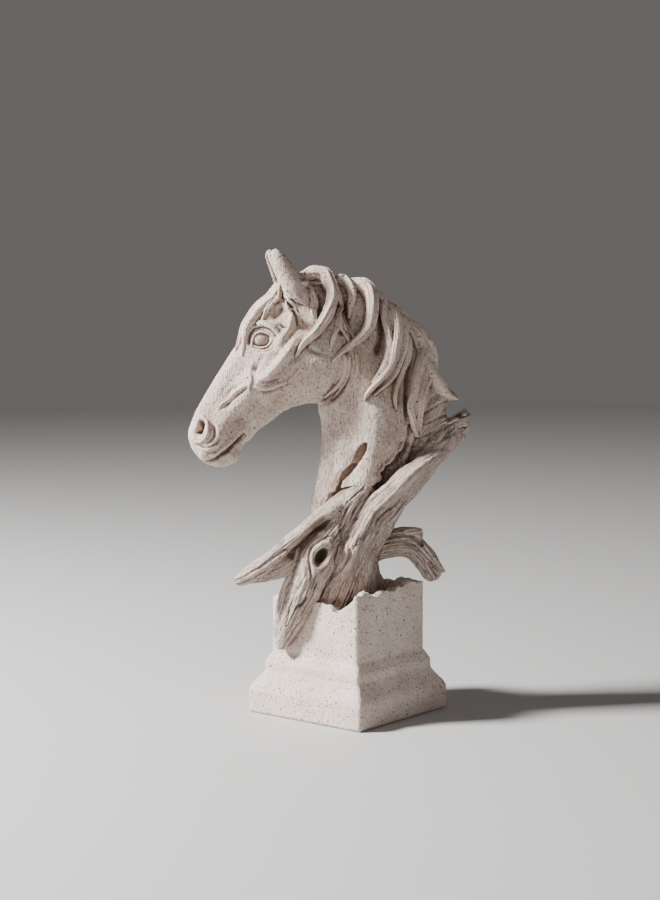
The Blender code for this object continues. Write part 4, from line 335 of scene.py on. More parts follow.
FINE = [
    ([(-119.3, 243), (-121.8, 236.5), (-124.3, 230.5)], 3.8, -6.5, {"sharp": 0.7, "ends": 0.12}),
    ([(-121, 246), (-117, 242), (-116, 235), (-118.2, 228.2), (-122.5, 225), (-127, 226)], 2.2, 2.0,
      {"ends": 0.1}),
    ([(-113, 242), (-110.4, 235), (-111.8, 228.5), (-117.5, 222.8)], 2.2, -1.6),
    ([(-109.5, 241), (-107, 234), (-109, 226)], 2.6, 0.8),
    ([(-125.5, 223.6), (-118.5, 220.8), (-111, 222.8), (-104, 229)], 1.7, -1.6),
    ([(-124, 219), (-116, 216.2), (-108, 218.8), (-101, 225.5)], 1.7, -1.1),
    ([(-122, 214.6), (-114, 212.8), (-106, 215.6), (-99, 221)], 1.6, -0.8),
    ([(-86.5, 229.6), (-95, 222), (-101.9, 215.9), (-110.1, 210.3), (-117.4, 207.6), (-123, 206.5)], 2.3,
      -4.2, {"ends": 0.06}),
    ([(-86, 230)], 3.6, -2.4),
    ([(-92, 230), (-100, 223.5), (-108, 217), (-116, 212.5)], 3.2, 1.1),
    ([(-80.4, 294), (-80, 288), (-81.4, 281.5), (-80.6, 275.5), (-82.6, 269), (-81.3, 263)], 1.7, 1.5),
    ([(-81.8, 273), (-87.5, 269), (-93.1, 265.4), (-98.4, 259.2), (-104, 255.5), (-109, 249)], 1.9, 1.9),
    ([(-84, 270), (-90, 264.8), (-96.5, 259.5), (-103, 252)], 2.3, -1.9),
    ([(-84, 277), (-89, 273.2), (-96, 268), (-102, 261)], 2.2, -1.0),
    ([(-80, 270.6), (-71, 268.8), (-61, 271.4), (-52, 274.6), (-44, 281.5), (-39, 289)], 2.1, 1.8),
    ([(-78, 266.8), (-68, 265.2), (-57, 268.6), (-46, 274.5)], 1.9, -1.6),
    ([(-76.5, 276), (-68, 273.6), (-58, 277)], 1.6, -1.1),
    ([(-70, 297), (-75, 289), (-79, 281)], 3.6, -1.6),
    ([(-82, 303.5), (-82, 309.5), (-78.3, 315.6), (-72.7, 317.4), (-67.6, 316.2), (-63.6, 313.4),
      (-60.4, 309.4)], 1.5, -1.9, {"ends": 0.08}),
    ([(-83, 318.5), (-79.4, 320.2), (-75.4, 319.6)], 1.3, -1.3),
    ([(-84, 316), (-85.6, 311.2), (-85.2, 305.8), (-83, 301)], 2.2, 1.2),
    ([(-77, 321.5), (-69, 321), (-61.5, 316.5), (-57, 310.5)], 2.6, 0.9),
    ([(-63, 306), (-63.6, 302), (-68, 299.6), (-73, 299)], 1.3, -1.1),
    ([(-60, 304), (-55, 301.6), (-50, 302.6)], 1.4, -0.6),
    ([(-50.8, 318.6), (-54.4, 318.2), (-57, 320.4)], 1.5, -1.4),
    ([(-54.5, 341), (-52, 337.6), (-46.5, 332), (-43.6, 325), (-43.4, 318)], 1.9, -2.2, {"ends": 0.2}),
    ([(-51, 342.6), (-45, 336.4), (-41.4, 329)], 1.3, -0.8, {"ends": 0.2}),
    ([(-53.5, 347.6), (-51.2, 344.7), (-46.8, 341.6), (-40.3, 340.3)], 1.9, 1.1, {"ends": 0.2}),
    ([(-49.5, 340.6), (-43.5, 336.9), (-36, 334.6)], 1.6, -1.4),
    ([(-64.5, 339.6), (-68.8, 332.6), (-77.7, 322.1), (-83.4, 315.4), (-86.4, 307.3), (-87.8, 299.3)], 1.6,
      -1.6),
    ([(-39, 306), (-31, 299), (-21, 296)], 3.4, -1.4),
    ([(-6.5, 299), (-4, 288), (-6.5, 275), (-13.5, 264.5), (-23.5, 256.5)], 1.8, -2.2, {"ends": 0.1}),
]

WOOD = [
    ([(-34, 119), (-38.5, 110), (-43.5, 97), (-48.5, 80), (-53, 66)], 2.4, -1.2, {"side": -1}),
    ([(-19.4, 135.5), (-18.4, 141.5), (-20.6, 145.4), (-27.6, 142.8), (-32.8, 136), (-33.1, 128.8),
      (-29.6, 124.9), (-23.4, 128.4), (-19.4, 135.5)], 2.5, 3.0, {"ends": 0, "side": -1}),
    ([(-16, 151), (-24, 149), (-33, 143), (-36.6, 134), (-35.8, 125), (-34.5, 117), (-38, 106)], 1.7, -2.8,
      {"side": -1}),
    ([(-16, 151), (-14.6, 143), (-16.8, 133.5), (-22.6, 125), (-29, 119), (-35, 109)], 1.7, -2.8, {"side":
      -1}),
    ([(-20, 154), (-30, 151), (-38, 144), (-41, 133.5), (-39.6, 122), (-42, 110)], 2.3, 1.7, {"side": -1}),
    ([(-12.6, 155.5), (-10.4, 143.5), (-12.8, 131.5), (-19.5, 120), (-27.5, 108)], 2.3, 2.0, {"side": -1}),
    ([(-30, 121.5), (-34, 112), (-40.5, 98), (-46.5, 82)], 1.7, -1.8, {"side": -1}),
    ([(-13, 171), (-17.5, 161), (-26.5, 153.2), (-38, 147), (-44.5, 138), (-47.5, 126)], 2.8, 1.8, {"side":
      -1}),
    ([(-7, 150), (-5, 138), (-10, 124), (-20, 112), (-30, 96)], 2.2, 1.2, {"side": -1}),
    ([(-38, 121), (-44, 110), (-50, 97), (-55, 82)], 1.8, -1.6, {"side": -1}),
    ([(-25, 119), (-31, 108), (-38, 93), (-45, 78)], 2.0, -1.8, {"side": -1}),
    ([(-20.5, 164.5), (-26, 160), (-33, 153.5), (-40, 146), (-46, 139), (-51, 131)], 6.5, -2.4, {"side": -1,
      "ends": 0.08}),
    ([(-4, 143), (-3.4, 133.5), (-10.5, 123), (-20, 112), (-27, 98)], 2.4, -2.4, {"ends": 0.15,
      "side": -1}),
    ([(-11, 148), (-10, 159), (-6, 169), (0, 178)], 1.9, -1.5, {"side": -1}),
    ([(-7.5, 145), (-3.5, 159), (2, 171), (9, 181)], 1.9, -1.6, {"side": -1}),
    ([(-4, 142), (2, 156), (9, 169), (17, 178.5)], 1.9, -1.6, {"side": -1}),
    ([(0, 140), (8.5, 153), (16.5, 165.5), (26.5, 176.5)], 1.9, -1.5, {"side": -1}),
    ([(4, 138), (14, 155), (26, 169), (38, 180)], 2.0, -1.4, {"side": -1}),
    ([(8, 130), (20, 150), (34, 166), (50, 184), (64, 200)], 2.2, -1.6, {"side": -1}),
    ([(-38, 153), (-56, 139.5), (-72, 127.5), (-86, 118.5)], 2.0, -1.4),
    ([(-30, 152), (-50, 137), (-66, 124.5)], 1.8, -1.2, {"side": -1}),
    ([(24, 143), (38, 146.5), (50, 146), (59, 140), (66, 130), (73, 119)], 2.4, -2.4),
    ([(26, 136), (40, 139), (52, 137), (60, 129), (66, 119)], 2.2, -1.8),
    ([(66, 124), (71, 115), (74, 110)], 2.4, -3.0, {"ends": 0.05}),
    ([(52, 236), (66, 240), (82, 246), (98, 250)], 1.8, -1.3),
    ([(52, 244), (64, 249), (76, 256), (86, 258)], 1.8, -1.3),
    ([(50, 226), (66, 230), (82, 237), (98, 244)], 1.8, -1.4),
    ([(46, 214), (62, 219), (80, 228), (96, 236)], 1.8, -1.2),
    ([(-13, 182), (-10, 162), (-3, 142), (5, 120), (9, 100)], 2.4, -1.6, {"side": 1}),
    ([(14, 186), (2, 164), (-8, 140), (-15, 118), (-19, 98)], 2.2, -1.8, {"side": 1}),
    ([(42, 202), (31, 184), (24, 160), (19, 134), (17, 108)], 2.4, -1.8, {"side": 1}),
]

# The hollow where a branch has rotted out: middle x, z, half-width, half-height, lean, depth.

KNOT_HOLE = (-26.3, 134.9, 4.9, 6.9, 0.42, 9.5)

# The plinth's sloped moulding and its cove, as shares of their width and height

SLOPE = [(0, 0), (0.15, 0.23), (0.48, 0.5), (0.77, 0.74), (1, 1)]
COVE = [(0, 0), (0.48, 0.53), (1, 1)]

# Its broken top: places on the plan as shares of the block's half diagonal, and their height there as a
# share of BLOCK_HEIGHT

BREAK = [
    (-0.99, -0.03, -0.18), (-0.93, 0, -0.15), (-0.77, -0.22, -0.18), (-0.42, -0.58, -0.15),
    (-0.32, -0.67, -0.18), (-0.24, -0.75, -0.28), (-0.16, -0.83, -0.2), (-0.08, -0.91, -0.11),
    (0, -0.99, 0.02), (0.13, -0.86, 0.045), (0.26, -0.74, -0.04), (0.38, -0.61, 0), (0.53, -0.46, -0.03),
    (0.64, -0.35, 0.02), (0.77, -0.22, 0.07), (0.9, -0.1, 0.055), (0.99, 0, 0.04), (0.8, 0.22, 0.055),
    (0.61, 0.42, 0), (0.42, 0.61, 0.04), (0.19, 0.8, -0.02), (0, 0.99, 0), (-0.19, 0.8, -0.07),
    (-0.38, 0.61, -0.04), (-0.58, 0.42, -0.13), (-0.77, 0.22, -0.11), (0, 0, -0.09), (-0.38, -0.29, -0.26),
    (-0.16, -0.58, -0.29), (0.16, -0.48, -0.13), (0.42, -0.16, -0.07), (0.48, 0.26, -0.055),
    (0, 0.48, -0.09), (-0.42, 0.13, -0.17),
]

# The hollow under the jaw, the way the split plank's fibres run, and the floor of the tear

UNDER_JAW = [(-8, 266), (-24, 257), (-46, 252), (-64, 239), (-80, 227)]
SLAB_GRAIN = [(28, -1, 214, 30, 9), (98, -1, 252, 30, 9)]
TEAR_FLOOR = [(10, 221), (5, 212), (-1, 203), (-6, 196), (-9, 188)]

# Where the brown wash and the painted shade of shadowed recesses are strongest: path (side-view x, z),
# radius, amount

WASH_AND_SHADE = [
    ([(-28, 173), (-17, 181), (-6, 186)], 6, 0.7), ([(-26, 160), (-42, 145), (-60, 124)], 6, 0.7),
    ([(-121, 237)], 5, 0.5), ([(-118, 206), (-104, 207), (-90, 216)], 6, 0.5),
    ([(-34, 256), (-18, 260), (-8, 270)], 9, 0.5), ([(12, 262), (20, 268)], 7, 0.5),
    ([(36, 252), (36, 262)], 6, 0.4), ([(-56, 345), (-52, 336), (-46, 330)], 6, 0.5),
    ([(-28, 135)], 7, 0.9), ([(48, 222), (40, 208), (24, 194)], 7, 0.6), ([(28, 108), (44, 106)], 8, 0.6),
    ([(-50, 90), (-54, 66)], 6, 0.5), ([(-8, 96), (8, 92)], 8, 0.6),
]

# Numbers

def unit(v):
    v = np.asarray(v, float)
    return v / np.maximum(np.linalg.norm(v, axis=-1, keepdims=True), 1e-12)


def ease(x):
    return x * x * (3 - 2 * x)


def lengths(path):
    """How far along a path each of its points is."""
    return np.r_[0, np.cumsum(np.linalg.norm(np.diff(path, axis=0), axis=1))]


def smooth_rows(rows, count):
    """count rows on a smooth curve through the given rows, evenly spaced along its first three columns."""
    rows = np.asarray(rows, float)
    if len(rows) == 2:
        t = np.linspace(0, 1, count)[:, None]
        return rows[0] * (1 - t) + rows[1] * t
    padded = np.vstack([2 * rows[0] - rows[1], rows, 2 * rows[-1] - rows[-2]])
    fine = []
    for i in range(len(rows) - 1):
        p0, p1, p2, p3 = padded[i:i + 4]
        t = np.linspace(0, 1, CURVE_STEPS, endpoint=False)[:, None]
        fine.append(0.5 * (2 * p1 + (p2 - p0) * t + (2 * p0 - 5 * p1 + 4 * p2 - p3) * t**2
                           + (3 * p1 - p0 - 3 * p2 + p3) * t**3))
    fine = np.vstack(fine + [rows[-1:]])
    run = lengths(fine[:, :3])
    want = np.linspace(0, run[-1], count)
    return np.stack([np.interp(want, run, fine[:, k]) for k in range(rows.shape[1])], 1)


def side_rows(route, count):
    """The same for rows that start with a side-view x and z, with a column for y put between them."""
    return smooth_rows(np.insert(np.asarray(route, float), 1, 0.0, axis=1), count)


def directions(path):
    """Along a path, and across it in the side view and through it."""
    tangent = unit(np.gradient(path, axis=0))
    across = unit(np.cross(tangent, [0, 1, 0]))
    return tangent, across, unit(np.cross(tangent, across))


def lattice(ix, iy, iz, seed):
    h = (ix.astype(np.uint32) * np.uint32(374761393) + iy.astype(np.uint32) * np.uint32(668265263)
         + iz.astype(np.uint32) * np.uint32(2246822519) + np.uint32(seed * 3266489917 & 0xFFFFFFFF))
    h = (h ^ (h >> np.uint32(13))) * np.uint32(1274126177)
    h = h ^ (h >> np.uint32(16))
    return (h & np.uint32(0xFFFF)).astype(np.float64) / 32767.5 - 1.0


def noise(points, seed):
    """Smooth value noise in -1..1 at each point, with one cell per unit."""
    cell = np.floor(points).astype(np.int64)
    high = ease(points - cell)
    share = (1 - high, high)
    total = 0
    for dx in (0, 1):
        for dy in (0, 1):
            for dz in (0, 1):
                corner = lattice(cell[:, 0] + dx, cell[:, 1] + dy, cell[:, 2] + dz, seed)
                total = total + share[dx][:, 0] * share[dy][:, 1] * share[dz][:, 2] * corner
    return total


def noise_at(x, y, z, seed):
    return noise(np.stack([x, y, z], 1), seed)


def fractal(points, seed):
    return sum(0.5**k * noise(points * 2**k, seed + k) for k in range(3))


# Meshes

def new_object(name, data):
    obj = bpy.data.objects.new(name, data)
    bpy.context.scene.collection.objects.link(obj)
    return obj


def mesh_object(name, points, faces):
    mesh = bpy.data.meshes.new(name)
    mesh.from_pydata([tuple(p) for p in np.asarray(points)], [], faces)
    mesh.validate()
    return new_object(name, mesh)


def drawn_object(name, mesh):
    """The object of a mesh that was drawn in bmesh, which it frees."""
    data = bpy.data.meshes.new(name)
    mesh.to_mesh(data)
    mesh.free()
    return new_object(name, data)


def remove(obj):
    mesh = obj.data
    bpy.data.objects.remove(obj)
    if mesh.users == 0:
        bpy.data.meshes.remove(mesh)


def facing_out(obj, triangles=False):
    """Turns all faces of a closed body outwards."""
    mesh = bmesh.new()
    mesh.from_mesh(obj.data)
    bmesh.ops.recalc_face_normals(mesh, faces=mesh.faces)
    if triangles:
        bmesh.ops.triangulate(mesh, faces=mesh.faces)
    mesh.to_mesh(obj.data)
    mesh.free()
    return obj


def only(obj, keep):
    """Deletes the vertices that aren't marked in keep."""
    mesh = bmesh.new()
    mesh.from_mesh(obj.data)
    mesh.verts.ensure_lookup_table()
    bmesh.ops.delete(mesh, geom=[v for v in mesh.verts if not keep[v.index]], context="VERTS")
    mesh.to_mesh(obj.data)
    mesh.free()
    return obj


def join(name, objects):
    points, faces, base = [], [], 0
    for obj in objects:
        points.append(coordinates(obj))
        faces += [[base + k for k in p.vertices] for p in obj.data.polygons]
        base += len(obj.data.vertices)
    joined = mesh_object(name, np.vstack(points), faces)
    for obj in objects:
        remove(obj)
    return joined


def with_modifiers(obj, name, *settings):
    """The evaluated result of each (kind, values) modifier on an object, as a new object in its place."""
    for kind, values in settings:
        modifier = obj.modifiers.new(kind.title(), kind)
        for key, value in values.items():
            setattr(modifier, key, value)
    graph = bpy.context.evaluated_depsgraph_get()
    made = new_object(name, bpy.data.meshes.new_from_object(obj.evaluated_get(graph)))
    remove(obj)
    made.name = name
    return made


def remeshed(obj, name, cell):
    settings = {"mode": "VOXEL", "voxel_size": cell * U, "adaptivity": 0.0}
    return with_modifiers(obj, name, ("REMESH", settings))


def finished(obj, name):
    """The piece in smooth-shaded triangles, as many as it may have."""
    obj = with_modifiers(obj, name, ("TRIANGULATE", {}))
    share = TRIANGLES[name] / len(obj.data.polygons)
    if share < 1:
        obj = with_modifiers(obj, name, ("DECIMATE", {"ratio": share, "use_collapse_triangulate": True}))
    obj.data.polygons.foreach_set("use_smooth", [True] * len(obj.data.polygons))
    return obj


def cut(obj, name, cutter):
    """The object less the cutter, which goes."""
    settings = {"operation": "DIFFERENCE", "solver": "EXACT", "object": cutter}
    made = with_modifiers(obj, name, ("BOOLEAN", settings))
    remove(cutter)
    return made


def coordinates(obj):
    co = np.empty(len(obj.data.vertices) * 3)
    obj.data.vertices.foreach_get("co", co)
    return co.reshape(-1, 3)


def set_coordinates(obj, co):
    obj.data.vertices.foreach_set("co", np.ascontiguousarray(co, np.float32).ravel())
    obj.data.update()


def normals(obj):
    n = np.empty(len(obj.data.vertices) * 3, np.float32)
    obj.data.vertices.foreach_get("normal", n)
    return n.reshape(-1, 3).astype(float)


def edges_of(obj):
    e = np.empty(len(obj.data.edges) * 2, np.int32)
    obj.data.edges.foreach_get("vertices", e)
    return e.reshape(-1, 2)


def relax(values, edges, rounds, weight=0.5):
    """Repeated averaging of per-vertex values with their neighbours."""
    n = len(values)
    a, b = edges[:, 0], edges[:, 1]
    count = np.bincount(a, minlength=n) + np.bincount(b, minlength=n)
    out = np.array(values, float).reshape(n, -1)
    for _ in range(rounds):
        mean = np.empty_like(out)
        for k in range(out.shape[1]):
            total = np.bincount(a, out[b, k], n) + np.bincount(b, out[a, k], n)
            mean[:, k] = total / np.maximum(count, 1)
        out = out + (mean - out) * weight
    return out.reshape(np.shape(values))


def soft_normals(obj, rounds):
    return unit(relax(normals(obj), edges_of(obj), rounds))


def largest_island(obj):
    """Leaves only the biggest connected shell of a mesh."""
    edges = edges_of(obj)
    label = np.arange(len(obj.data.vertices))
    while True:
        low = np.minimum(label[edges[:, 0]], label[edges[:, 1]])
        new = label.copy()
        np.minimum.at(new, edges[:, 0], low)
        np.minimum.at(new, edges[:, 1], low)
        new = new[new]
        if (new == label).all():
            break
        label = new
    names, count = np.unique(label, return_counts=True)
    return obj if len(names) == 1 else only(obj, label == names[count.argmax()])


def tree_of(objects):
    points, faces = [], []
    for obj in objects:
        base = len(points)
        points += [obj.matrix_world @ v.co for v in obj.data.vertices]
        faces += [[base + k for k in p.vertices] for p in obj.data.polygons]
    return BVHTree.FromPolygons(points, faces)


# Solid forms, drawn in the tables' units

def loft(name, rings):
    """A closed body through rings of equal point count; each end is closed by a fan."""
    rings = np.asarray(rings, float) * U
    n, m = rings.shape[:2]
    points = np.vstack([rings.reshape(-1, 3), rings[0].mean(0), rings[-1].mean(0)])
    faces = [(i * m + j, i * m + (j + 1) % m, (i + 1) * m + (j + 1) % m, (i + 1) * m + j)
             for i in range(n - 1) for j in range(m)]
    faces += [(n * m, (j + 1) % m, j) for j in range(m)]
    faces += [(n * m + 1, (n - 1) * m + j, (n - 1) * m + (j + 1) % m) for j in range(m)]
    return facing_out(mesh_object(name, points, faces))


def oval(count, power=2.0):
    """The share of each half size at count points of an oval. Power 2 is an ellipse, more is squarer."""
    a = np.linspace(0, 2 * math.pi, count, endpoint=False)
    return [np.sign(w) * np.abs(w) ** (2 / power) for w in (np.cos(a), np.sin(a))]


def body_between(name, stations, along):
    """A left-right symmetric body. Each station: top x, z, bottom x, z, and its half-widths near the top,
    at the middle and near the bottom."""
    s = np.asarray(stations, float)
    mid = np.stack([(s[:, 0] + s[:, 2]) / 2, (s[:, 1] + s[:, 3]) / 2, np.zeros(len(s))], 1)
    up, side = oval(56, 2.3)
    rings = []
    for tx, tz, bx, bz, w_top, w_mid, w_low in smooth_rows(np.hstack([mid, s]), along)[:, 3:]:
        away = np.clip(np.abs(up) / 0.6, 0, 1)
        width = w_mid + (np.where(up > 0, w_top, w_low) - w_mid) * away * away * (3 - 2 * away)
        cx, cz, hx, hz = (tx + bx) / 2, (tz + bz) / 2, (tx - bx) / 2, (tz - bz) / 2
        rings.append(np.stack([cx + up * hx, side * width, cz + up * hz], 1))
    return loft(name, rings)


def limb(name, stations, along, around, power=2.0, lumps=0.0, seed=1):
    """A round or flattened limb. Each station: x, y, z, half-width seen from the side, half-depth."""
    rows = smooth_rows(stations, along)
    tangent, across, depth = directions(rows[:, :3])
    up, side = oval(around, power)
    rings = []
    for i, row in enumerate(rows):
        ring = row[:3] + np.outer(up * row[3], across[i]) + np.outer(side * row[4], depth[i])
        if lumps:
            wave = noise(ring / 14.0, seed) + 0.5 * noise(ring / 6.0, seed + 5)
            ring = row[:3] + (ring - row[:3]) * (1 + lumps * wave)[:, None]
        rings.append(ring)
    tip, last = rings[-1].mean(0), rings[-1]
    for size, ahead in ((0.75, 0.35), (0.35, 0.6)):
        rings.append(tip + (last - tip) * size + tangent[-1] * rows[-1, 3] * ahead)
    return loft(name, rings)


def plate(name, outline, y_mid, half, rim):
    """A flat board with soft edges from a side-view outline."""
    flat = np.asarray(outline, float)
    area = 0.5 * np.sum(flat[:, 0] * np.roll(flat[:, 1], -1) - flat[:, 1] * np.roll(flat[:, 0], -1))
    before, after = flat - np.roll(flat, 1, axis=0), np.roll(flat, -1, axis=0) - flat
    direction = unit(unit(before) + unit(after))
    inward = np.stack([-direction[:, 1], direction[:, 0]], 1) * np.sign(area)
    levels = [(-1, rim), (-0.8, rim * 0.4), (-0.35, 0), (0.35, 0), (0.8, rim * 0.4), (1, rim)]
    points = []
    for level, inset in levels:
        points += [(x * U, (y_mid + level * half) * U, z * U) for x, z in flat + inward * inset]
    n, m = len(flat), len(levels)
    faces = [(i * n + j, i * n + (j + 1) % n, (i + 1) * n + (j + 1) % n, (i + 1) * n + j)
             for i in range(m - 1) for j in range(n)]
    faces += [tuple(range(n)), tuple(range((m - 1) * n, m * n))[::-1]]
    return facing_out(mesh_object(name, points, faces), triangles=True)


def prism(name, outline, y0, y1):
    """A straight-sided cutter: a side-view outline, extruded from y0 to y1."""
    mesh = bmesh.new()
    face = mesh.faces.new([mesh.verts.new((x * U, y0 * U, z * U)) for x, z in outline])
    swept = bmesh.ops.extrude_face_region(mesh, geom=[face])
    moved = [v for v in swept["geom"] if isinstance(v, bmesh.types.BMVert)]
    bmesh.ops.translate(mesh, vec=(0, (y1 - y0) * U, 0), verts=moved)
    bmesh.ops.recalc_face_normals(mesh, faces=mesh.faces)
    bmesh.ops.triangulate(mesh, faces=mesh.faces)
    return drawn_object(name, mesh)


def ball(name, centre, radii):
    mesh = bmesh.new()
    bmesh.ops.create_uvsphere(mesh, u_segments=72, v_segments=48, radius=1.0)
    bmesh.ops.scale(mesh, vec=Vector(radii) * U, verts=mesh.verts)
    bmesh.ops.translate(mesh, vec=Vector(centre) * U, verts=mesh.verts)
    return drawn_object(name, mesh)


def ear(name, base, tip, bend, side, across):
    """A cupped leaf that opens forwards."""
    base, tip = np.array(base, float), np.array(tip, float)
    t = np.linspace(0, 1, 30)
    spine = base + np.outer(t, tip - base) + np.outer(np.sin(t * math.pi) * bend, [-1, 0, 0.3])
    width = np.interp(t, [0, 0.15, 0.35, 0.6, 0.8, 0.92, 0.98, 1],
                      [0.85, 1.0, 0.95, 0.76, 0.61, 0.42, 0.24, 0.06]) * across
    along = unit(np.gradient(spine, axis=0))
    facing = unit(np.array([-0.97, side * -0.12, 0.0]))
    outer = np.radians(np.linspace(-128, 128, 21))
    inner = np.radians(np.linspace(112, -112, 15))
    rings = []
    for i, w in enumerate(width):
        f = unit(facing - along[i] * (facing @ along[i]))
        s = unit(np.cross(along[i], f))
        wall = min(0.34 * w, 2.4) * np.interp(t[i], [0, 0.12, 1], [2.2, 1.0, 1.0])
        back = np.outer(-np.cos(outer) * w, f) + np.outer(np.sin(outer) * w * 0.92, s)
        cup = np.outer(-np.cos(inner) * (w - wall), f) + np.outer(np.sin(inner) * (w * 0.92 - wall), s)
        rings.append(spine[i] + np.vstack([back, cup]))
    return loft(name, rings)


# Hair

def drop(tree, x, z, side):
    """The point and normal of the first surface met from one side, at side-view place x, z (in units)."""
    hit = tree.ray_cast(Vector((x * U, side * CLEAR, z * U)), Vector((0, -side, 0)))
    if hit[0] is None:
        near = tree.find_nearest(Vector((x * U, side * 4 * U, z * U)))
        return np.array([x, side * 3.0, z]), np.array(near[1])
    return np.array(hit[0]) / U, np.array(hit[1])


def lock_on(name, sizes, hits, count, lines):
    """A lock of hair with count strands, over places on the skin and their normals. Each row of sizes:
    half-width, thickness, lift off the skin. Its middle line goes into lines."""
    ground, normal = (np.array(column) for column in zip(*hits))
    along = len(ground)
    root = np.clip(1 - np.arange(along) / (0.14 * along), 0, 1)
    thinner = np.stack([1 - 0.4 * root, 1 - 0.4 * root, np.ones(along)], 1)
    sizes = sizes * thinner - np.outer(root, [0, 0, 2.5])
    for _ in range(6):
        for values in (ground, normal):
            values[1:-1] = (values[:-2] + values[1:-1] * 2 + values[2:]) / 4
    normal = unit(normal)
    centre = ground + normal * sizes[:, 2:3]
    tangent = unit(np.gradient(centre, axis=0))
    across = unit(np.cross(tangent, normal))
    out = unit(np.cross(across, tangent))
    out = out * np.sign((out * normal).sum(1))[:, None]
    lines.append((centre, across, out, sizes[:, 0]))
    c, q = oval(40)
    furrow = 1 - 0.22 * np.abs(np.cos(q * 3 * math.pi / 2)) ** 3
    rings = []
    for i, (half, thick, _) in enumerate(sizes * (0.92, 0.8, 1.0)):
        rise = np.where(c > 0, np.maximum(c, 0) ** 0.8 * thick * furrow, c * thick * 0.9)
        rings.append(centre[i] + np.outer(q * half, across[i]) + np.outer(rise, out[i]))
    tip = rings[-1].mean(0)
    rings.append(tip + (rings[-1] - tip) * 0.3 + tangent[-1] * sizes[-1, 0] * 0.8)
    return [loft(name, rings)] + strands_on(name, sizes, centre, across, out, count)


def strands_on(name, sizes, centre, across, out, count):
    """Thin strands side by side over a lock, each with its own sway, height and end."""
    along = len(centre)
    t = np.linspace(0, 1, along)
    rng = np.random.default_rng(sum(ord(letter) for letter in name))
    tangent = unit(np.gradient(centre, axis=0))
    c, q = oval(10)
    made = []
    for j in range(count):
        place = -0.74 + 1.48 * (j + 0.5) / count
        place = place + 0.16 / count * 3 * np.sin(2 * math.pi * (t * rng.uniform(0.4, 0.9) + rng.random()))
        rise = sizes[:, 1] * np.sqrt(np.clip(1 - place**2, 0.15, 1)) * rng.uniform(0.62, 0.86)
        path = centre + across * (place * sizes[:, 0])[:, None] + out * rise[:, None]
        last = along - 1 if j == count // 2 else int(along * rng.uniform(0.84, 1.0)) - 1
        width = sizes[:, 0] / count * rng.uniform(1.15, 1.5)
        width = width * np.clip((last - np.arange(along)) / (0.22 * along), 0.22, 1) ** 0.7
        width = np.maximum(width, 0.3)
        rings = [path[i] + np.outer(c * width[i], across[i]) + np.outer(q * width[i] * 0.95, out[i])
                 for i in range(last + 1)]
        end = rings[-1].mean(0)
        rings.append(end + (rings[-1] - end) * 0.3 + tangent[last] * width[last])
        made.append(loft(name, rings))
    return made


def side_hair(tree, locks, side, count_for, lines):
    """Locks laid on one side. Each row: side-view x, z, half-width, thickness, lift."""
    made = []
    for name, route in locks.items():
        rows = side_rows(route, LOCK_ROWS)
        hits = [drop(tree, row[0], row[2], side) for row in rows]
        made += lock_on(name, rows[:, 3:], hits, count_for(route), lines)
    return made


def top_hair(tree, locks, count, lines):
    """Locks over the nearest skin. Each row: x, y, z, half-width, thickness, lift."""
    made = []
    for name, route in locks.items():
        rows = smooth_rows(route, LOCK_ROWS)
        near = [tree.find_nearest(Vector(row[:3] * U)) for row in rows]
        hits = [(np.array(point) / U, np.array(normal)) for point, normal, _, _ in near]
        made += lock_on(name, rows[:, 3:], hits, count, lines)
    return made


# Sculpting strokes in the side view

def along_path(co, path):
    """Each vertex's side-view distance to a polyline, and its share of the way along it."""
    path = np.asarray(path, float)
    x, z = co[:, 0], co[:, 2]
    if len(path) == 1:
        return np.hypot(x - path[0, 0], z - path[0, 1]), np.full(len(co), 0.5)
    run = np.r_[0, np.cumsum(np.hypot(*np.diff(path, axis=0).T))]
    best, share = np.full(len(co), 1e9), np.zeros(len(co))
    for i in range(len(path) - 1):
        a, d = path[i], path[i + 1] - path[i]
        t = np.clip(((x - a[0]) * d[0] + (z - a[1]) * d[1]) / (d @ d), 0, 1)
        far = np.hypot(x - a[0] - t * d[0], z - a[1] - t * d[1])
        closer = far < best
        best = np.where(closer, far, best)
        share = np.where(closer, (run[i] + t * (run[i + 1] - run[i])) / run[-1], share)
    return best, share


def stroke(co, nrm, path, radius, height, side=0, sharp=1.0, ends=0.25):
    """Swells (or sinks) the skin along a path. ends is the share of it over which each end fades."""
    if len(path) > 2:
        path = side_rows(path, 5 * len(path))[:, [0, 2]]
    far, share = along_path(co, path)
    fall = ease(np.clip(1 - far / radius, 0, 1)) ** sharp
    if ends and len(path) > 1:
        fall = fall * np.clip(np.minimum(share, 1 - share) / ends + 0.15, 0, 1)
    fall = fall * np.clip(np.abs(nrm[:, 1]) * 1.8 - 0.1, 0, 1)
    if side:
        fall = fall * (co[:, 1] * side > 0)
    return fall * height


def strokes(co, nrm, table):
    total = np.zeros(len(co))
    for path, radius, height, *more in table:
        total = total + stroke(co, nrm, path, radius, height, **(more[0] if more else {}))
    return total


def carved(obj, table, smooth=2):
    """The fine strokes, on a lightly smoothed mesh."""
    co = relax(coordinates(obj) / U, edges_of(obj), smooth)
    set_coordinates(obj, co * U)
    nrm = soft_normals(obj, 2)
    set_coordinates(obj, (co + nrm * strokes(co, nrm, table)[:, None]) * U)
    return obj


def dug(obj, hole):
    """A steep-sided hole sunk straight in from the near side."""
    x, z, wide, high, lean, depth = hole
    co = coordinates(obj) / U
    across = (co[:, 0] - x) - (co[:, 2] - z) * lean
    off = (across / wide) ** 2 + ((co[:, 2] - z) / high) ** 2
    near = (co[:, 1] < -22) & (normals(obj)[:, 1] < 0.3)
    co[:, 1] += depth * np.clip(1 - off, 0, 1) ** 0.8 * near
    set_coordinates(obj, co * U)
    return obj


# The bust

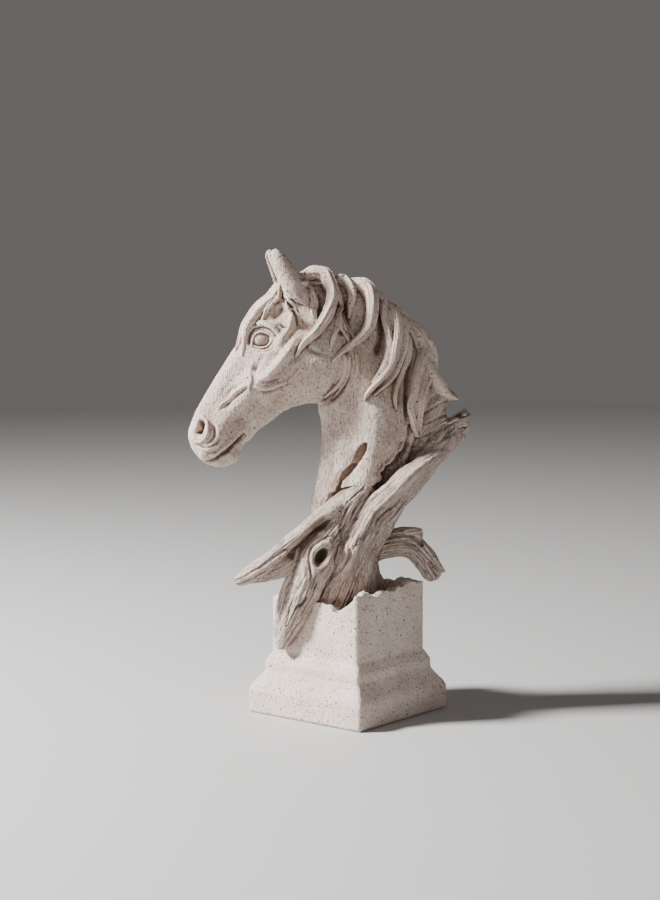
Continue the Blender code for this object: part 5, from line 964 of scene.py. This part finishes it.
def bust_skin():
    """Head, neck and ears without hair, joined, with the broad strokes on them."""
    neck = body_between("neck", NECK, 64)
    cutters = [prism("tear", TEAR, -60, -19.5), prism("tear end", TEAR[5:17], -60, -15)]
    for side, edge in ((NEAR, NECK_EDGE), (-NEAR, FAR_EDGE)):
        cutters.append(prism("below", edge + [(90, 100), (-60, 100)], side * 15, side * 60))
    for cutter in cutters:
        neck = cut(neck, "neck", cutter)
    head = body_between("head", HEAD, 70)
    ears = [ear("ear", (-45 - s * 1.2, s * 13.5, 334), (-65.2 - s * 1.2, s * 18, EAR_TIP), -2.6, s, 12.2)
            for s in (-1, 1)]
    skin = remeshed(join("skin", [head, neck] + ears), "skin", SKIN_CELL)
    co = relax(coordinates(skin) / U, edges_of(skin), 3)
    set_coordinates(skin, co * U)
    nrm = soft_normals(skin, 4)
    keep = (co[:, 2] < 352) | (co[:, 0] > -40)
    co = co + nrm * (strokes(co, nrm, BROAD) * keep)[:, None]
    far, share = along_path(co, UNDER_JAW)
    dip = np.clip(1 - np.abs(co[:, 1]) / 11, 0, 1) ** 1.2 * np.clip(1 - far / 9, 0, 1)
    dip = dip * np.clip(-nrm[:, 2] * 2, 0, 1) * np.clip(np.minimum(share, 1 - share) / 0.15, 0, 1)
    co = co - nrm * (dip * 5.0)[:, None]
    set_coordinates(skin, co * U)
    return skin


def eye_parts(tree):
    """Both eyeballs and the thin rims of their lids."""
    x, z = EYE
    made = []
    for side in (-1, 1):
        middle = drop(tree, x, z, side)[0][1]
        for name, path, radius in (("upper lid", UPPER_LID, 0.95), ("lower lid", LOWER_LID, 0.75)):
            rows = side_rows(path, 40)
            skin = [[side * drop(tree, x + (px - x) * k, z + (pz - z) * k, side)[0][1] for k in (1.0, 1.35)]
                    for px, _, pz in rows]
            skin = side * np.max(skin, axis=1)
            for _ in range(8):
                skin[1:-1] = (skin[:-2] + 2 * skin[1:-1] + skin[2:]) / 4
            share = np.linspace(0, 1, len(rows))
            rows[:, 1] = 0.6 * skin + 0.4 * (middle + side * 3.0) + side * 0.8 * np.sin(math.pi * share)
            sizes = radius * (0.55 + 0.45 * np.sqrt(np.sin(math.pi * share)))
            made.append(limb(name, np.column_stack([rows, sizes, sizes * 1.5]), 60, 14))
        made.append(ball("eye", (x, middle + side * 0.7, z), (7.2, 4.3, 6.1)))
    return made


def above_skin(obj, tree, depth):
    """Leaves out the part of a piece that lies deeper than this inside the skin under it."""
    co, keep = coordinates(obj), np.ones(len(obj.data.vertices), bool)
    for k, (x, y, z) in enumerate(co):
        near, nrm, _, far = tree.find_nearest((x, y, z))
        out = (x - near[0]) * nrm[0] + (y - near[1]) * nrm[1] + (z - near[2]) * nrm[2]
        keep[k] = far < depth * U or out > 0
    return only(obj, keep)


# The plinth

def plinth_profile(top):
    """The plinth's outer side over its corners, from the given top down to the foot."""
    foot, band, block = (side / math.sqrt(2) for side in (FOOT_SIDE, BAND_SIDE, BLOCK_SIDE))
    slope = [(foot + (band - foot) * a, FOOT_HEIGHT + SLOPE_HEIGHT * b) for a, b in SLOPE]
    cove = [(band + (block - band) * a, BAND_BOTTOM + BAND_HEIGHT + COVE_HEIGHT * b) for a, b in COVE]
    return [(block, top)] + cove[::-1] + slope[::-1] + [(foot, 0)]


def broken_height(x, y):
    """The height of the broken top over places on the plan: the tabled places around each, and the crumbs,
    which are rougher in the middle of the break and chipped along the faces' upper edges."""
    half = BLOCK_SIDE / math.sqrt(2)
    places = np.array(BREAK)
    gap = (places[:, 0] - x[:, None] / half) ** 2 + (places[:, 1] - y[:, None] / half) ** 2 + 0.0005
    weight = 1 / gap**2
    level = (places[:, 2] * weight).sum(1) / weight.sum(1)
    middle = np.full(len(x), 0.5)
    rough = 0.016 * noise_at(x / half * 15, y / half * 15, middle, 9)
    p = np.stack([x * 1000, y * 1000, middle], 1)
    edge = np.clip(1 - (half - np.abs(x) - np.abs(y)) / 0.007, 0, 1)
    crumb = 0.9 * noise(p / 2.6, 61) + 1.2 * noise(p / 6.5, 65)
    ledge = np.round(noise(p / 3.2, 69) * 2.2) / 2.2
    chip = np.clip(noise(p / 1.9, 67) + 0.3, 0, None) * edge
    return BLOCK_TOP + (level + rough) * BLOCK_HEIGHT + (
        crumb * (1 - 0.5 * edge) + 0.8 * ledge - 1.1 * chip) * 0.001


def plinth():
    """The moulded block as a screw of four steps, with its top broken off by a rough cutter."""
    top = BLOCK_TOP + 0.2 * BLOCK_HEIGHT
    mesh = bmesh.new()
    bmesh.ops.create_grid(mesh, x_segments=BREAK_CELLS, y_segments=BREAK_CELLS,
                          size=BLOCK_SIDE / math.sqrt(2) * 1.06)
    roof = bmesh.ops.extrude_face_region(mesh, geom=mesh.faces[:])
    raised = {part for part in roof["geom"] if isinstance(part, bmesh.types.BMVert)}
    plan = np.array([vertex.co[:2] for vertex in mesh.verts])
    for vertex, height in zip(mesh.verts, broken_height(plan[:, 0], plan[:, 1])):
        vertex.co.z = top + 0.01 if vertex in raised else height
    bmesh.ops.recalc_face_normals(mesh, faces=mesh.faces)
    bmesh.ops.triangulate(mesh, faces=mesh.faces)
    cutter = drawn_object("plinth_break", mesh)

    points = [(0, 0, top)] + [(r, 0, z) for r, z in plinth_profile(top)] + [(0, 0, 0)]
    block = new_object("plinth_block", bpy.data.meshes.new("plinth_block"))
    block.data.from_pydata(points, [(i, i + 1) for i in range(len(points) - 1)], [])
    made = with_modifiers(
        block, "plinth",
        ("SCREW", {"axis": "Z", "angle": 2 * math.pi, "steps": 4, "render_steps": 4,
                   "use_merge_vertices": True, "merge_threshold": 0.00005, "use_smooth_shade": False}),
        ("BEVEL", {"width": EDGE_ROUND, "segments": 1, "limit_method": "ANGLE",
                   "angle_limit": math.radians(50)}),
        ("BOOLEAN", {"operation": "DIFFERENCE", "solver": "EXACT", "object": cutter}))
    remove(cutter)
    return made


# Relief finer than the casting's main forms. Each of these takes places and returns their relief, in units.

def cast_skin(co):
    """The slightly uneven surface of a stone casting, drawn out downwards on the neck."""
    streak = noise(co / (1.3, 1.3, 6.5), 43) * np.clip((250 - co[:, 2]) / 40, 0, 1)
    return 0.16 * fractal(co / 7.0, 41) + 0.22 * noise(co / 1.9, 45) + 0.34 * streak


def block_skin(co):
    """A gritty cast face with a few small pits."""
    pits = np.clip(noise(co / 2.1, 51) - 0.62, 0, 1) * 2.2
    return 0.12 * fractal(co / 6.0, 47) + 0.10 * noise(co / 1.6, 53) - 0.5 * pits


def limb_places(co):
    """For each limb, the vertices near it, where they are across, through and along it, and its weight."""
    for number, rows in enumerate([rows for _, rows in LIMBS.values()] + [SLAB_GRAIN]):
        rows = smooth_rows(rows, 13)
        _, across, depth = directions(rows[:, :3])
        run = lengths(rows[:, :3])
        reach = rows[:, 3:].max() + 9
        near = ((co > rows[:, :3].min(0) - reach) & (co < rows[:, :3].max(0) + reach)).all(1).nonzero()[0]
        p = co[near]
        best = np.full(len(p), 1e9)
        place = np.zeros((len(p), 4))
        for i in range(len(rows) - 1):
            a, d = rows[i, :3], rows[i + 1, :3] - rows[i, :3]
            t = np.clip((p - a) @ d / (d @ d), 0, 1)
            off = p - a - t[:, None] * d
            gap = (off**2).sum(1)
            closer = gap < best
            best = np.where(closer, gap, best)
            u = off @ across[i] * (1 - t) + off @ across[i + 1] * t
            v = off @ depth[i] * (1 - t) + off @ depth[i + 1] * t
            wide = rows[i, 3] * (1 - t) + rows[i + 1, 3] * t
            deep = rows[i, 4] * (1 - t) + rows[i + 1, 4] * t
            over = gap - u**2 - v**2
            share = (u / wide) ** 2 + (v / deep) ** 2 + np.clip(over, 0, None) / wide**2
            new = np.stack([u, v, run[i] + t * (run[i + 1] - run[i]), share], 1)
            place[closer] = new[closer]
        weight = 1 / (np.clip(place[:, 3], 0.05, None) ** 4 + 0.02)
        yield number, near, place[:, :3], weight


def wood_fibres(co):
    """Long fibres and drying cracks along the driftwood, blended where limbs meet, with how cracked each
    place is. Both are calmer around the knot."""
    relief, cracks, total = np.zeros(len(co)), np.zeros(len(co)), np.full(len(co), 1e-9)
    for number, near, place, weight in limb_places(co):
        u, v, s = place.T
        shift = number * 17.3
        knot = np.hypot(co[near, 0] + 26.5, co[near, 2] - 135)
        calm = 1 - 0.75 * np.clip(1.6 - knot / 10, 0, 1) * (co[near, 1] < 0)

        def grain(across, along, seed):
            return noise_at(u / across, v / across, s / along + shift, seed)

        u, v = u + 1.6 * grain(9, 22, 31), v + 1.6 * grain(9, 22, 37)
        broad, fine = grain(3.4, 42, 3), grain(1.35, 19, 7)
        gate = np.clip(grain(12, 26, 13) * 2 + 0.75, 0, 1)
        crack = ease(np.clip(1 - np.abs(grain(4.6, 52, 11)) / 0.13, 0, 1) * gate)
        hair = np.clip(1 - np.abs(grain(2.1, 34, 17)) / 0.12, 0, 1) * np.clip(gate + 0.25, 0, 1)
        relief[near] += weight * (0.55 * broad + 0.36 * fine - 1.5 * crack - 0.5 * hair) * calm
        cracks[near] += weight * np.clip(crack + 0.5 * hair + 0.2 * (fine < -0.35), 0, 1) * calm
        total[near] += weight
    return relief / total, cracks / total


def grain_places(co):
    """The place across, through and along the nearest limb, for the finest fibres."""
    best, found = np.zeros(len(co)), np.zeros((len(co), 3))
    for number, near, place, weight in limb_places(co):
        closer = weight > best[near]
        best[near[closer]] = weight[closer]
        found[near[closer]] = place[closer] + [0, 0, number * 53.0]
    return found


def hair_grooves(co, lines):
    """Grooves along the locks, with how deep in a groove each place is."""
    points, frames = [], []
    for number, (centre, across, out, half) in enumerate(lines):
        run = lengths(centre)
        for i in range(len(centre)):
            for q in (-0.75, -0.25, 0.25, 0.75):
                points.append(centre[i] + across[i] * half[i] * q + out[i] * half[i] * 0.5)
                frames.append((number, run[i], centre[i], across[i]))
    tree = KDTree(len(points))
    for i, point in enumerate(points):
        tree.insert(point, i)
    tree.balance()
    which, along, side = np.zeros((3, len(co)))
    for k, point in enumerate(co):
        which[k], along[k], centre, across = frames[tree.find(point)[1]]
        side[k] = (point - centre) @ across
    wave = side / 1.55 + 0.9 * noise_at(along / 13, side / 6, which * 3.1, 5) + which * 1.7
    groove = (0.5 + 0.5 * np.cos(2 * math.pi * wave)) ** 3
    height = noise_at(side / 2.6, along / 30, which * 5.3, 9)
    fine = noise_at(side / 0.7, along / 9, which * 7.7, 15)
    relief = -0.42 * groove * (0.7 + 0.5 * height) + 0.22 * height + 0.08 * fine
    return relief, np.clip(groove * (0.75 + 0.4 * height), 0, 1)


def lifted(obj, relief_of, smooth=3):
    """Moves each vertex out along its softened normal by the relief there."""
    co = coordinates(obj) / U
    set_coordinates(obj, (co + soft_normals(obj, smooth) * relief_of(co)[:, None]) * U)
    return obj


# What the materials read from each vertex

def note(obj, name, values, kind="FLOAT", key="value"):
    layer = obj.data.attributes.new(name, kind, "POINT")
    layer.data.foreach_set(key, np.ascontiguousarray(values, np.float32).ravel())


def hollows(obj, rounds):
    """How far each vertex lies below the skin around it, in units. More rounds take in a wider patch."""
    co = coordinates(obj) / U
    return ((relax(co, edges_of(obj), rounds, 0.6) - co) * soft_normals(obj, 2)).sum(1)


def sky_rays():
    """Directions over half a sphere, more of them near its top."""
    k = np.arange(SKY_RAYS) + 0.5
    up = np.sqrt(1 - k / SKY_RAYS * 0.92)
    turn = k * GOLDEN_TURN
    flat = np.sqrt(1 - up**2)
    return np.stack([flat * np.cos(turn), flat * np.sin(turn), up], 1)


def shelter(obj, tree):
    """How shut in each vertex is by what stands round it, from 0 in the open to 1."""
    co, nrm = coordinates(obj), normals(obj)
    helper = np.where(np.abs(nrm[:, 2:]) < 0.9, [[0.0, 0.0, 1.0]], [[1.0, 0.0, 0.0]])
    a = unit(np.cross(nrm, helper))
    b = np.cross(nrm, a)
    closed = np.zeros(len(co))
    start = co + nrm * 0.35 * U
    reach = SKY_REACH * U
    for x, y, z in sky_rays():
        way = a * x + b * y + nrm * z
        for k in range(len(co)):
            far = tree.ray_cast(start[k], way[k], reach)[3]
            if far is not None:
                closed[k] += 1 - far / reach * 0.7
    return closed / SKY_RAYS


def paint_wash_and_shade(obj, tree, grooves=0.0, most=1.0):
    """Notes the brown in the hollows, partly a brown wash and partly painted shade of shut-in places, hair
    grooves and the tear's floor, and the raised places that handling keeps clean.
    """
    co = coordinates(obj) / U
    # Painted shade: how shut in each vertex is by the pieces around it becomes brown and dark colour, as
    # shade would.
    shut = relax(shelter(obj, tree), edges_of(obj), 2)
    low = hollows(obj, 3) * 2.2 + hollows(obj, 14) * 0.9
    spots = np.zeros(len(co))
    # Spots of brown wash and painted shade in shadowed recesses, stronger where they are shut in.
    for path, radius, amount in WASH_AND_SHADE:
        far, _ = along_path(co, path)
        spots = np.maximum(spots, amount * np.clip(1.3 - far / radius, 0, 1))
    blotch = 0.5 + 0.5 * fractal(co / 9.0, 21)
    wash_and_shade = np.clip(shut * 1.5 - 0.28, 0, 1) * (0.55 + 0.45 * blotch) + np.clip(low, 0, 1) * 0.55
    # The hair's grooves add painted shade, partly brown wash, along the grooves.
    wash_and_shade = np.clip((wash_and_shade + grooves) * most + spots * (0.35 + 0.65 * np.clip(shut * 2, 0, 1)), 0, 1)
    # The tear's floor is painted brown, partly a brown wash and partly painted shade.
    far, _ = along_path(co, TEAR_FLOOR)
    inside = np.clip((co[:, 1] + 23.5) / 2, 0, 1) * (co[:, 1] < 0) * np.clip(2 - far / 5.0, 0, 1)
    note(obj, "wash_and_shade", np.maximum(wash_and_shade, inside * (0.42 + 0.16 * blotch)))
    note(obj, "worn", np.clip(-low * 0.9, 0, 1))


# Materials

def rgb(red, green, blue):
    """A colour as it looks on a screen, 0 to 255, as the linear values that a shader takes."""
    shares = [c / 255 for c in (red, green, blue)]
    return (*(c / 12.92 if c <= 10 / 255 else ((c + 0.055) / 1.055) ** 2.4 for c in shares), 1.0)


def stone(name, light, dark, brown, flecks, coarse, streak=0.0, grain=0.0):
    """Cast stone: two creams in patches, coarse grit, dark flecks, and brown and dark in the hollows,
    partly a brown wash and partly painted shade. streak is how strong its downward streaks are, and grain
    the width of the wood's fibres in mm."""
    material = bpy.data.materials.new(name)
    material.use_nodes = True
    nodes, links = material.node_tree.nodes, material.node_tree.links

    def feed(made, inputs):
        for key, source in inputs.items():
            if hasattr(source, "is_output"):
                links.new(source, made.inputs[key])
            else:
                made.inputs[key].default_value = source
        return made

    def node(kind, inputs, **values):
        made = nodes.new(kind)
        for key, value in values.items():
            setattr(made, key, value)
        return feed(made, inputs).outputs

    def math_node(operation, a, b=0.0, clamp=False):
        return node("ShaderNodeMath", {0: a, 1: b}, operation=operation, use_clamp=clamp)[0]

    def ramp(value, low, high, to_low=0.0, to_high=1.0, kind="SMOOTHSTEP"):
        inputs = {"Value": value, "From Min": low, "From Max": high, "To Min": to_low, "To Max": to_high}
        return node("ShaderNodeMapRange", inputs, interpolation_type=kind)["Result"]

    def mixed(factor, a, b):
        return node("ShaderNodeMix", {"Factor": factor, "A": a, "B": b}, data_type="RGBA")["Result"]

    def scaled(vector, *sizes):
        """The place, with one cell of a texture to each of these sizes in mm."""
        scale = [1000 / size for size in sizes]
        return node("ShaderNodeMapping", {"Vector": vector, "Scale": scale})["Vector"]

    def noise_of(vector, detail=3.0, roughness=0.55):
        return node("ShaderNodeTexNoise", {"Vector": vector, "Scale": 1.0, "Detail": detail,
                                           "Roughness": roughness})["Fac"]

    def spots(size, share, small, large):
        """Ragged flecks of unlike sizes, one in a share of the cells."""
        ragged = node("ShaderNodeTexNoise", {"Vector": scaled(place, *[size * 0.35] * 3), "Scale": 1.0})
        shift = node("ShaderNodeVectorMath", {0: ragged["Color"], "Scale": 0.42}, operation="SCALE")
        warp = node("ShaderNodeVectorMath", {0: scaled(place, *[size] * 3), 1: shift[0]}, operation="ADD")
        cell = node("ShaderNodeTexVoronoi", {"Vector": warp[0], "Scale": 1.0})
        pick = node("ShaderNodeSeparateColor", {0: cell["Color"]})[0]
        radius = ramp(pick, 1 - share, 1.0, small, large, "LINEAR")
        inside = math_node("SUBTRACT", radius, cell["Distance"])
        shape = math_node("DIVIDE", inside, 0.05, clamp=True)
        return math_node("MULTIPLY", shape, math_node("GREATER_THAN", pick, 1 - share))

    def noted(key):
        return node("ShaderNodeAttribute", {}, attribute_type="GEOMETRY", attribute_name=key)

    place = node("ShaderNodeTexCoord", {})["Object"]
    patch = ramp(noise_of(scaled(place, 24, 24, 24)), 0.34, 0.66)
    colour = mixed(patch, light, dark)
    grit = noise_of(scaled(place, 2.0, 2.0, 2.0), 4.0, 0.7)
    colour = mixed(ramp(grit, 0.5, 0.64, 0.0, coarse), colour, brown)
    height = grit
    if grain:
        along = noted("fibre")["Vector"]
        fibre = noise_of(scaled(along, grain, grain, grain * 11), 4.0, 0.68)
        rift = noise_of(scaled(along, grain * 2.2, grain * 2.2, grain * 26), 3.0, 0.6)
        rift = math_node("ABSOLUTE", math_node("SUBTRACT", rift, 0.5))
        colour = mixed(ramp(fibre, 0.5, 0.64, 0.0, 0.42), colour, brown)
        colour = mixed(ramp(rift, 0.0, 0.02, 0.7, 0.0), colour, DARK)
        colour = mixed(ramp(noted("crack")["Fac"], 0.15, 0.85, 0.0, 0.85), colour, DARK)
        height = math_node("ADD", height, math_node("MULTIPLY", fibre, 1.6))
        height = math_node("ADD", height, ramp(rift, 0.0, 0.03, -0.8, 0.0))
    if streak:
        drawn = noise_of(scaled(place, 1.7, 1.7, 6.5), 4.0, 0.68)
        x = node("ShaderNodeSeparateXYZ", {0: place})["X"]
        drawn = math_node("MULTIPLY", drawn, ramp(x, -0.075, -0.035, 0.8, 1.0))
        colour = mixed(ramp(drawn, 0.5, 0.64, 0.0, streak), colour, brown)
        height = math_node("ADD", height, math_node("MULTIPLY", drawn, 2.2))
    # Brown, then dark where deepest, from the brown wash and painted shade noted on each vertex.
    wash_and_shade = noted("wash_and_shade")["Fac"]
    colour = mixed(ramp(wash_and_shade, 0.10, 0.62, 0.0, 0.85), colour, brown)
    colour = mixed(ramp(wash_and_shade, 0.55, 1.1, 0.0, 0.5), colour, DARK)
    colour = mixed(ramp(noted("worn")["Fac"], 0.0, 0.8, 0.0, 0.6), colour, light)
    large = spots(3.2, 0.75 * flecks, 0.10, 0.27)
    middle = spots(1.9, 0.9 * flecks, 0.10, 0.34)
    colour = mixed(math_node("MULTIPLY", middle, 0.6), colour, DARK)
    colour = mixed(math_node("MULTIPLY", large, 0.85), colour, DARK)
    height = math_node("SUBTRACT", height, math_node("MULTIPLY", large, 0.6))
    bump = node("ShaderNodeBump", {"Strength": 1.0, "Distance": 0.0013, "Height": height})
    feed(nodes["Principled BSDF"], {
        "Base Color": colour, "Roughness": ramp(grit, 0.3, 0.7, 0.78, 0.96), "Metallic": 0.0,
        "Specular IOR Level": 0.25, "Normal": bump["Normal"]})
    return material


BROWN, DARK = rgb(138, 110, 91), rgb(62, 48, 40)
skin_stone = stone("bust_stone", rgb(232, 215, 204), rgb(209, 188, 175), BROWN, 0.5, 0.5, streak=0.5)
mane_stone = stone("mane_stone", rgb(226, 208, 197), rgb(202, 181, 168), BROWN, 0.5, 0.5)
wood_stone = stone("wood_stone", rgb(232, 214, 203), rgb(210, 188, 174), BROWN, 0.45, 0.35, grain=0.9)
plinth_stone = stone("plinth_stone", rgb(232, 216, 206), rgb(219, 201, 191), rgb(152, 128, 113), 1.0, 0.3)

# The pieces

figure_skin = bust_skin()
skin_tree = tree_of([figure_skin])

near_lines, far_lines = [], []
near_hair = side_hair(skin_tree, NEAR_LOCKS, NEAR,
                      lambda route: round(1.2 + max(row[2] for row in route) * 0.62), near_lines)
near_hair += top_hair(skin_tree, FORELOCK, 3, near_lines)
far_hair = side_hair(skin_tree, FAR_LOCKS, -NEAR, lambda route: 5, far_lines)
far_hair += top_hair(skin_tree, CREST, 7, far_lines)
far_hair.append(limb("flick", FLICK[1], 40, 24, FLICK[0], 0.06, 8))
manes, grooves = [], []
for name, hair, lines in (("mane_near", near_hair, near_lines), ("mane_far", far_hair, far_lines)):
    piece = above_skin(remeshed(join(name, hair), name, HAIR_CELL), skin_tree, 1.6)
    set_coordinates(piece, relax(coordinates(piece) / U, edges_of(piece), 1) * U)
    manes.append(finished(lifted(piece, lambda co: hair_grooves(co, lines)[0], 2), name))
    # How deep in a groove each place is, added to the brown wash as painted shade in the grooves.
    grooves.append(hair_grooves(coordinates(manes[-1]) / U, lines)[1] * 0.2)

eyes = finished(join("eyes", eye_parts(skin_tree)), "eyes")
bust = carved(largest_island(remeshed(figure_skin, "horse_bust", SKIN_CELL)), FINE)
bust = finished(lifted(bust, cast_skin), "horse_bust")

limbs = [limb(name, rows, 60, 32, power, 0.10, 3 + i)
         for i, (name, (power, rows)) in enumerate(LIMBS.items())]
limbs.append(plate("slab", SLAB, -1, 9, 4))
wood = largest_island(remeshed(join("driftwood", limbs), "driftwood", WOOD_CELL))
wood = lifted(dug(carved(wood, WOOD, 3), KNOT_HOLE), lambda co: wood_fibres(co)[0])
wood = finished(wood, "driftwood")
note(wood, "crack", wood_fibres(coordinates(wood) / U)[1])
note(wood, "fibre", grain_places(coordinates(wood) / U) * 0.001, "FLOAT_VECTOR", "vector")

block = remeshed(plinth(), "plinth", PLINTH_CELL)
co = coordinates(block) / U
soft, foot = relax(co, edges_of(block), 2), co[:, 2] < 0.6
soft[foot, 2] = co[foot, 2]
set_coordinates(block, soft * U)
block = lifted(block, block_skin)
co = coordinates(block)
co[:, 2] = np.maximum(co[:, 2], 0)
set_coordinates(block, co)
block = finished(block, "plinth")

pieces = [bust, eyes, *manes, wood, block]
whole = tree_of(pieces)
# Each piece gets its brown wash and painted shade of shut-in places, then its material.
for piece, material, more in (
        (bust, skin_stone, {}), (eyes, skin_stone, {"most": 0.3}),
        (manes[0], mane_stone, {"grooves": grooves[0], "most": 0.58}),
        (manes[1], mane_stone, {"grooves": grooves[1], "most": 0.58}),
        (wood, wood_stone, {"most": 0.48}), (block, plinth_stone, {})):
    paint_wash_and_shade(piece, whole, **more)
    piece.data.materials.clear()
    piece.data.materials.append(material)
    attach(piece, "root")
    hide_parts("horse_head_sculpture")

# The floor, the light and the view

mesh = bmesh.new()
bmesh.ops.create_grid(mesh, x_segments=1, y_segments=1, size=4.0)
floor = drawn_object("floor", mesh)
floor.location.z = -0.0004
paint = bpy.data.materials.new("pale_floor")
paint.use_nodes = True
paint.node_tree.nodes["Principled BSDF"].inputs["Base Color"].default_value = (0.55, 0.55, 0.55, 1)
paint.node_tree.nodes["Principled BSDF"].inputs["Roughness"].default_value = 0.7
floor.data.materials.append(paint)

world = bpy.data.worlds.new("studio")
bpy.context.scene.world = world
world.use_nodes = True
world.node_tree.nodes["Background"].inputs["Color"].default_value = (1.0, 0.94, 0.91, 1)
world.node_tree.nodes["Background"].inputs["Strength"].default_value = 0.14

for name, place, size, power, colour in (("key", (-1.6, -0.15, 1.34), 0.35, 148, (1.0, 0.98, 0.96)),
                                         ("fill", (0.9, -1.7, 0.7), 1.4, 2.3, (1.0, 0.94, 0.9))):
    light = bpy.data.lights.new(name, "AREA")
    light.size = size
    light.energy = power
    light.color = colour
    lamp = new_object(name, light)
    lamp.location = place
    lamp.rotation_euler = (Vector((0, 0, 0.2)) - Vector(place)).to_track_quat("-Z", "Y").to_euler()

camera = new_object("camera", bpy.data.cameras.new("camera"))
bpy.context.scene.camera = camera
camera.data.sensor_width = 36
camera.data.lens = LENS
round_by, turned, down = (math.radians(angle) for angle in (CAMERA_ROUND, CAMERA_TURN, CAMERA_DOWN))
camera.location = (math.sin(round_by) * CAMERA_AWAY, -math.cos(round_by) * CAMERA_AWAY, CAMERA_HEIGHT)
forward = Vector((-math.sin(turned) * math.cos(down), math.cos(turned) * math.cos(down), -math.sin(down)))
camera.rotation_euler = forward.to_track_quat("-Z", "Y").to_euler()
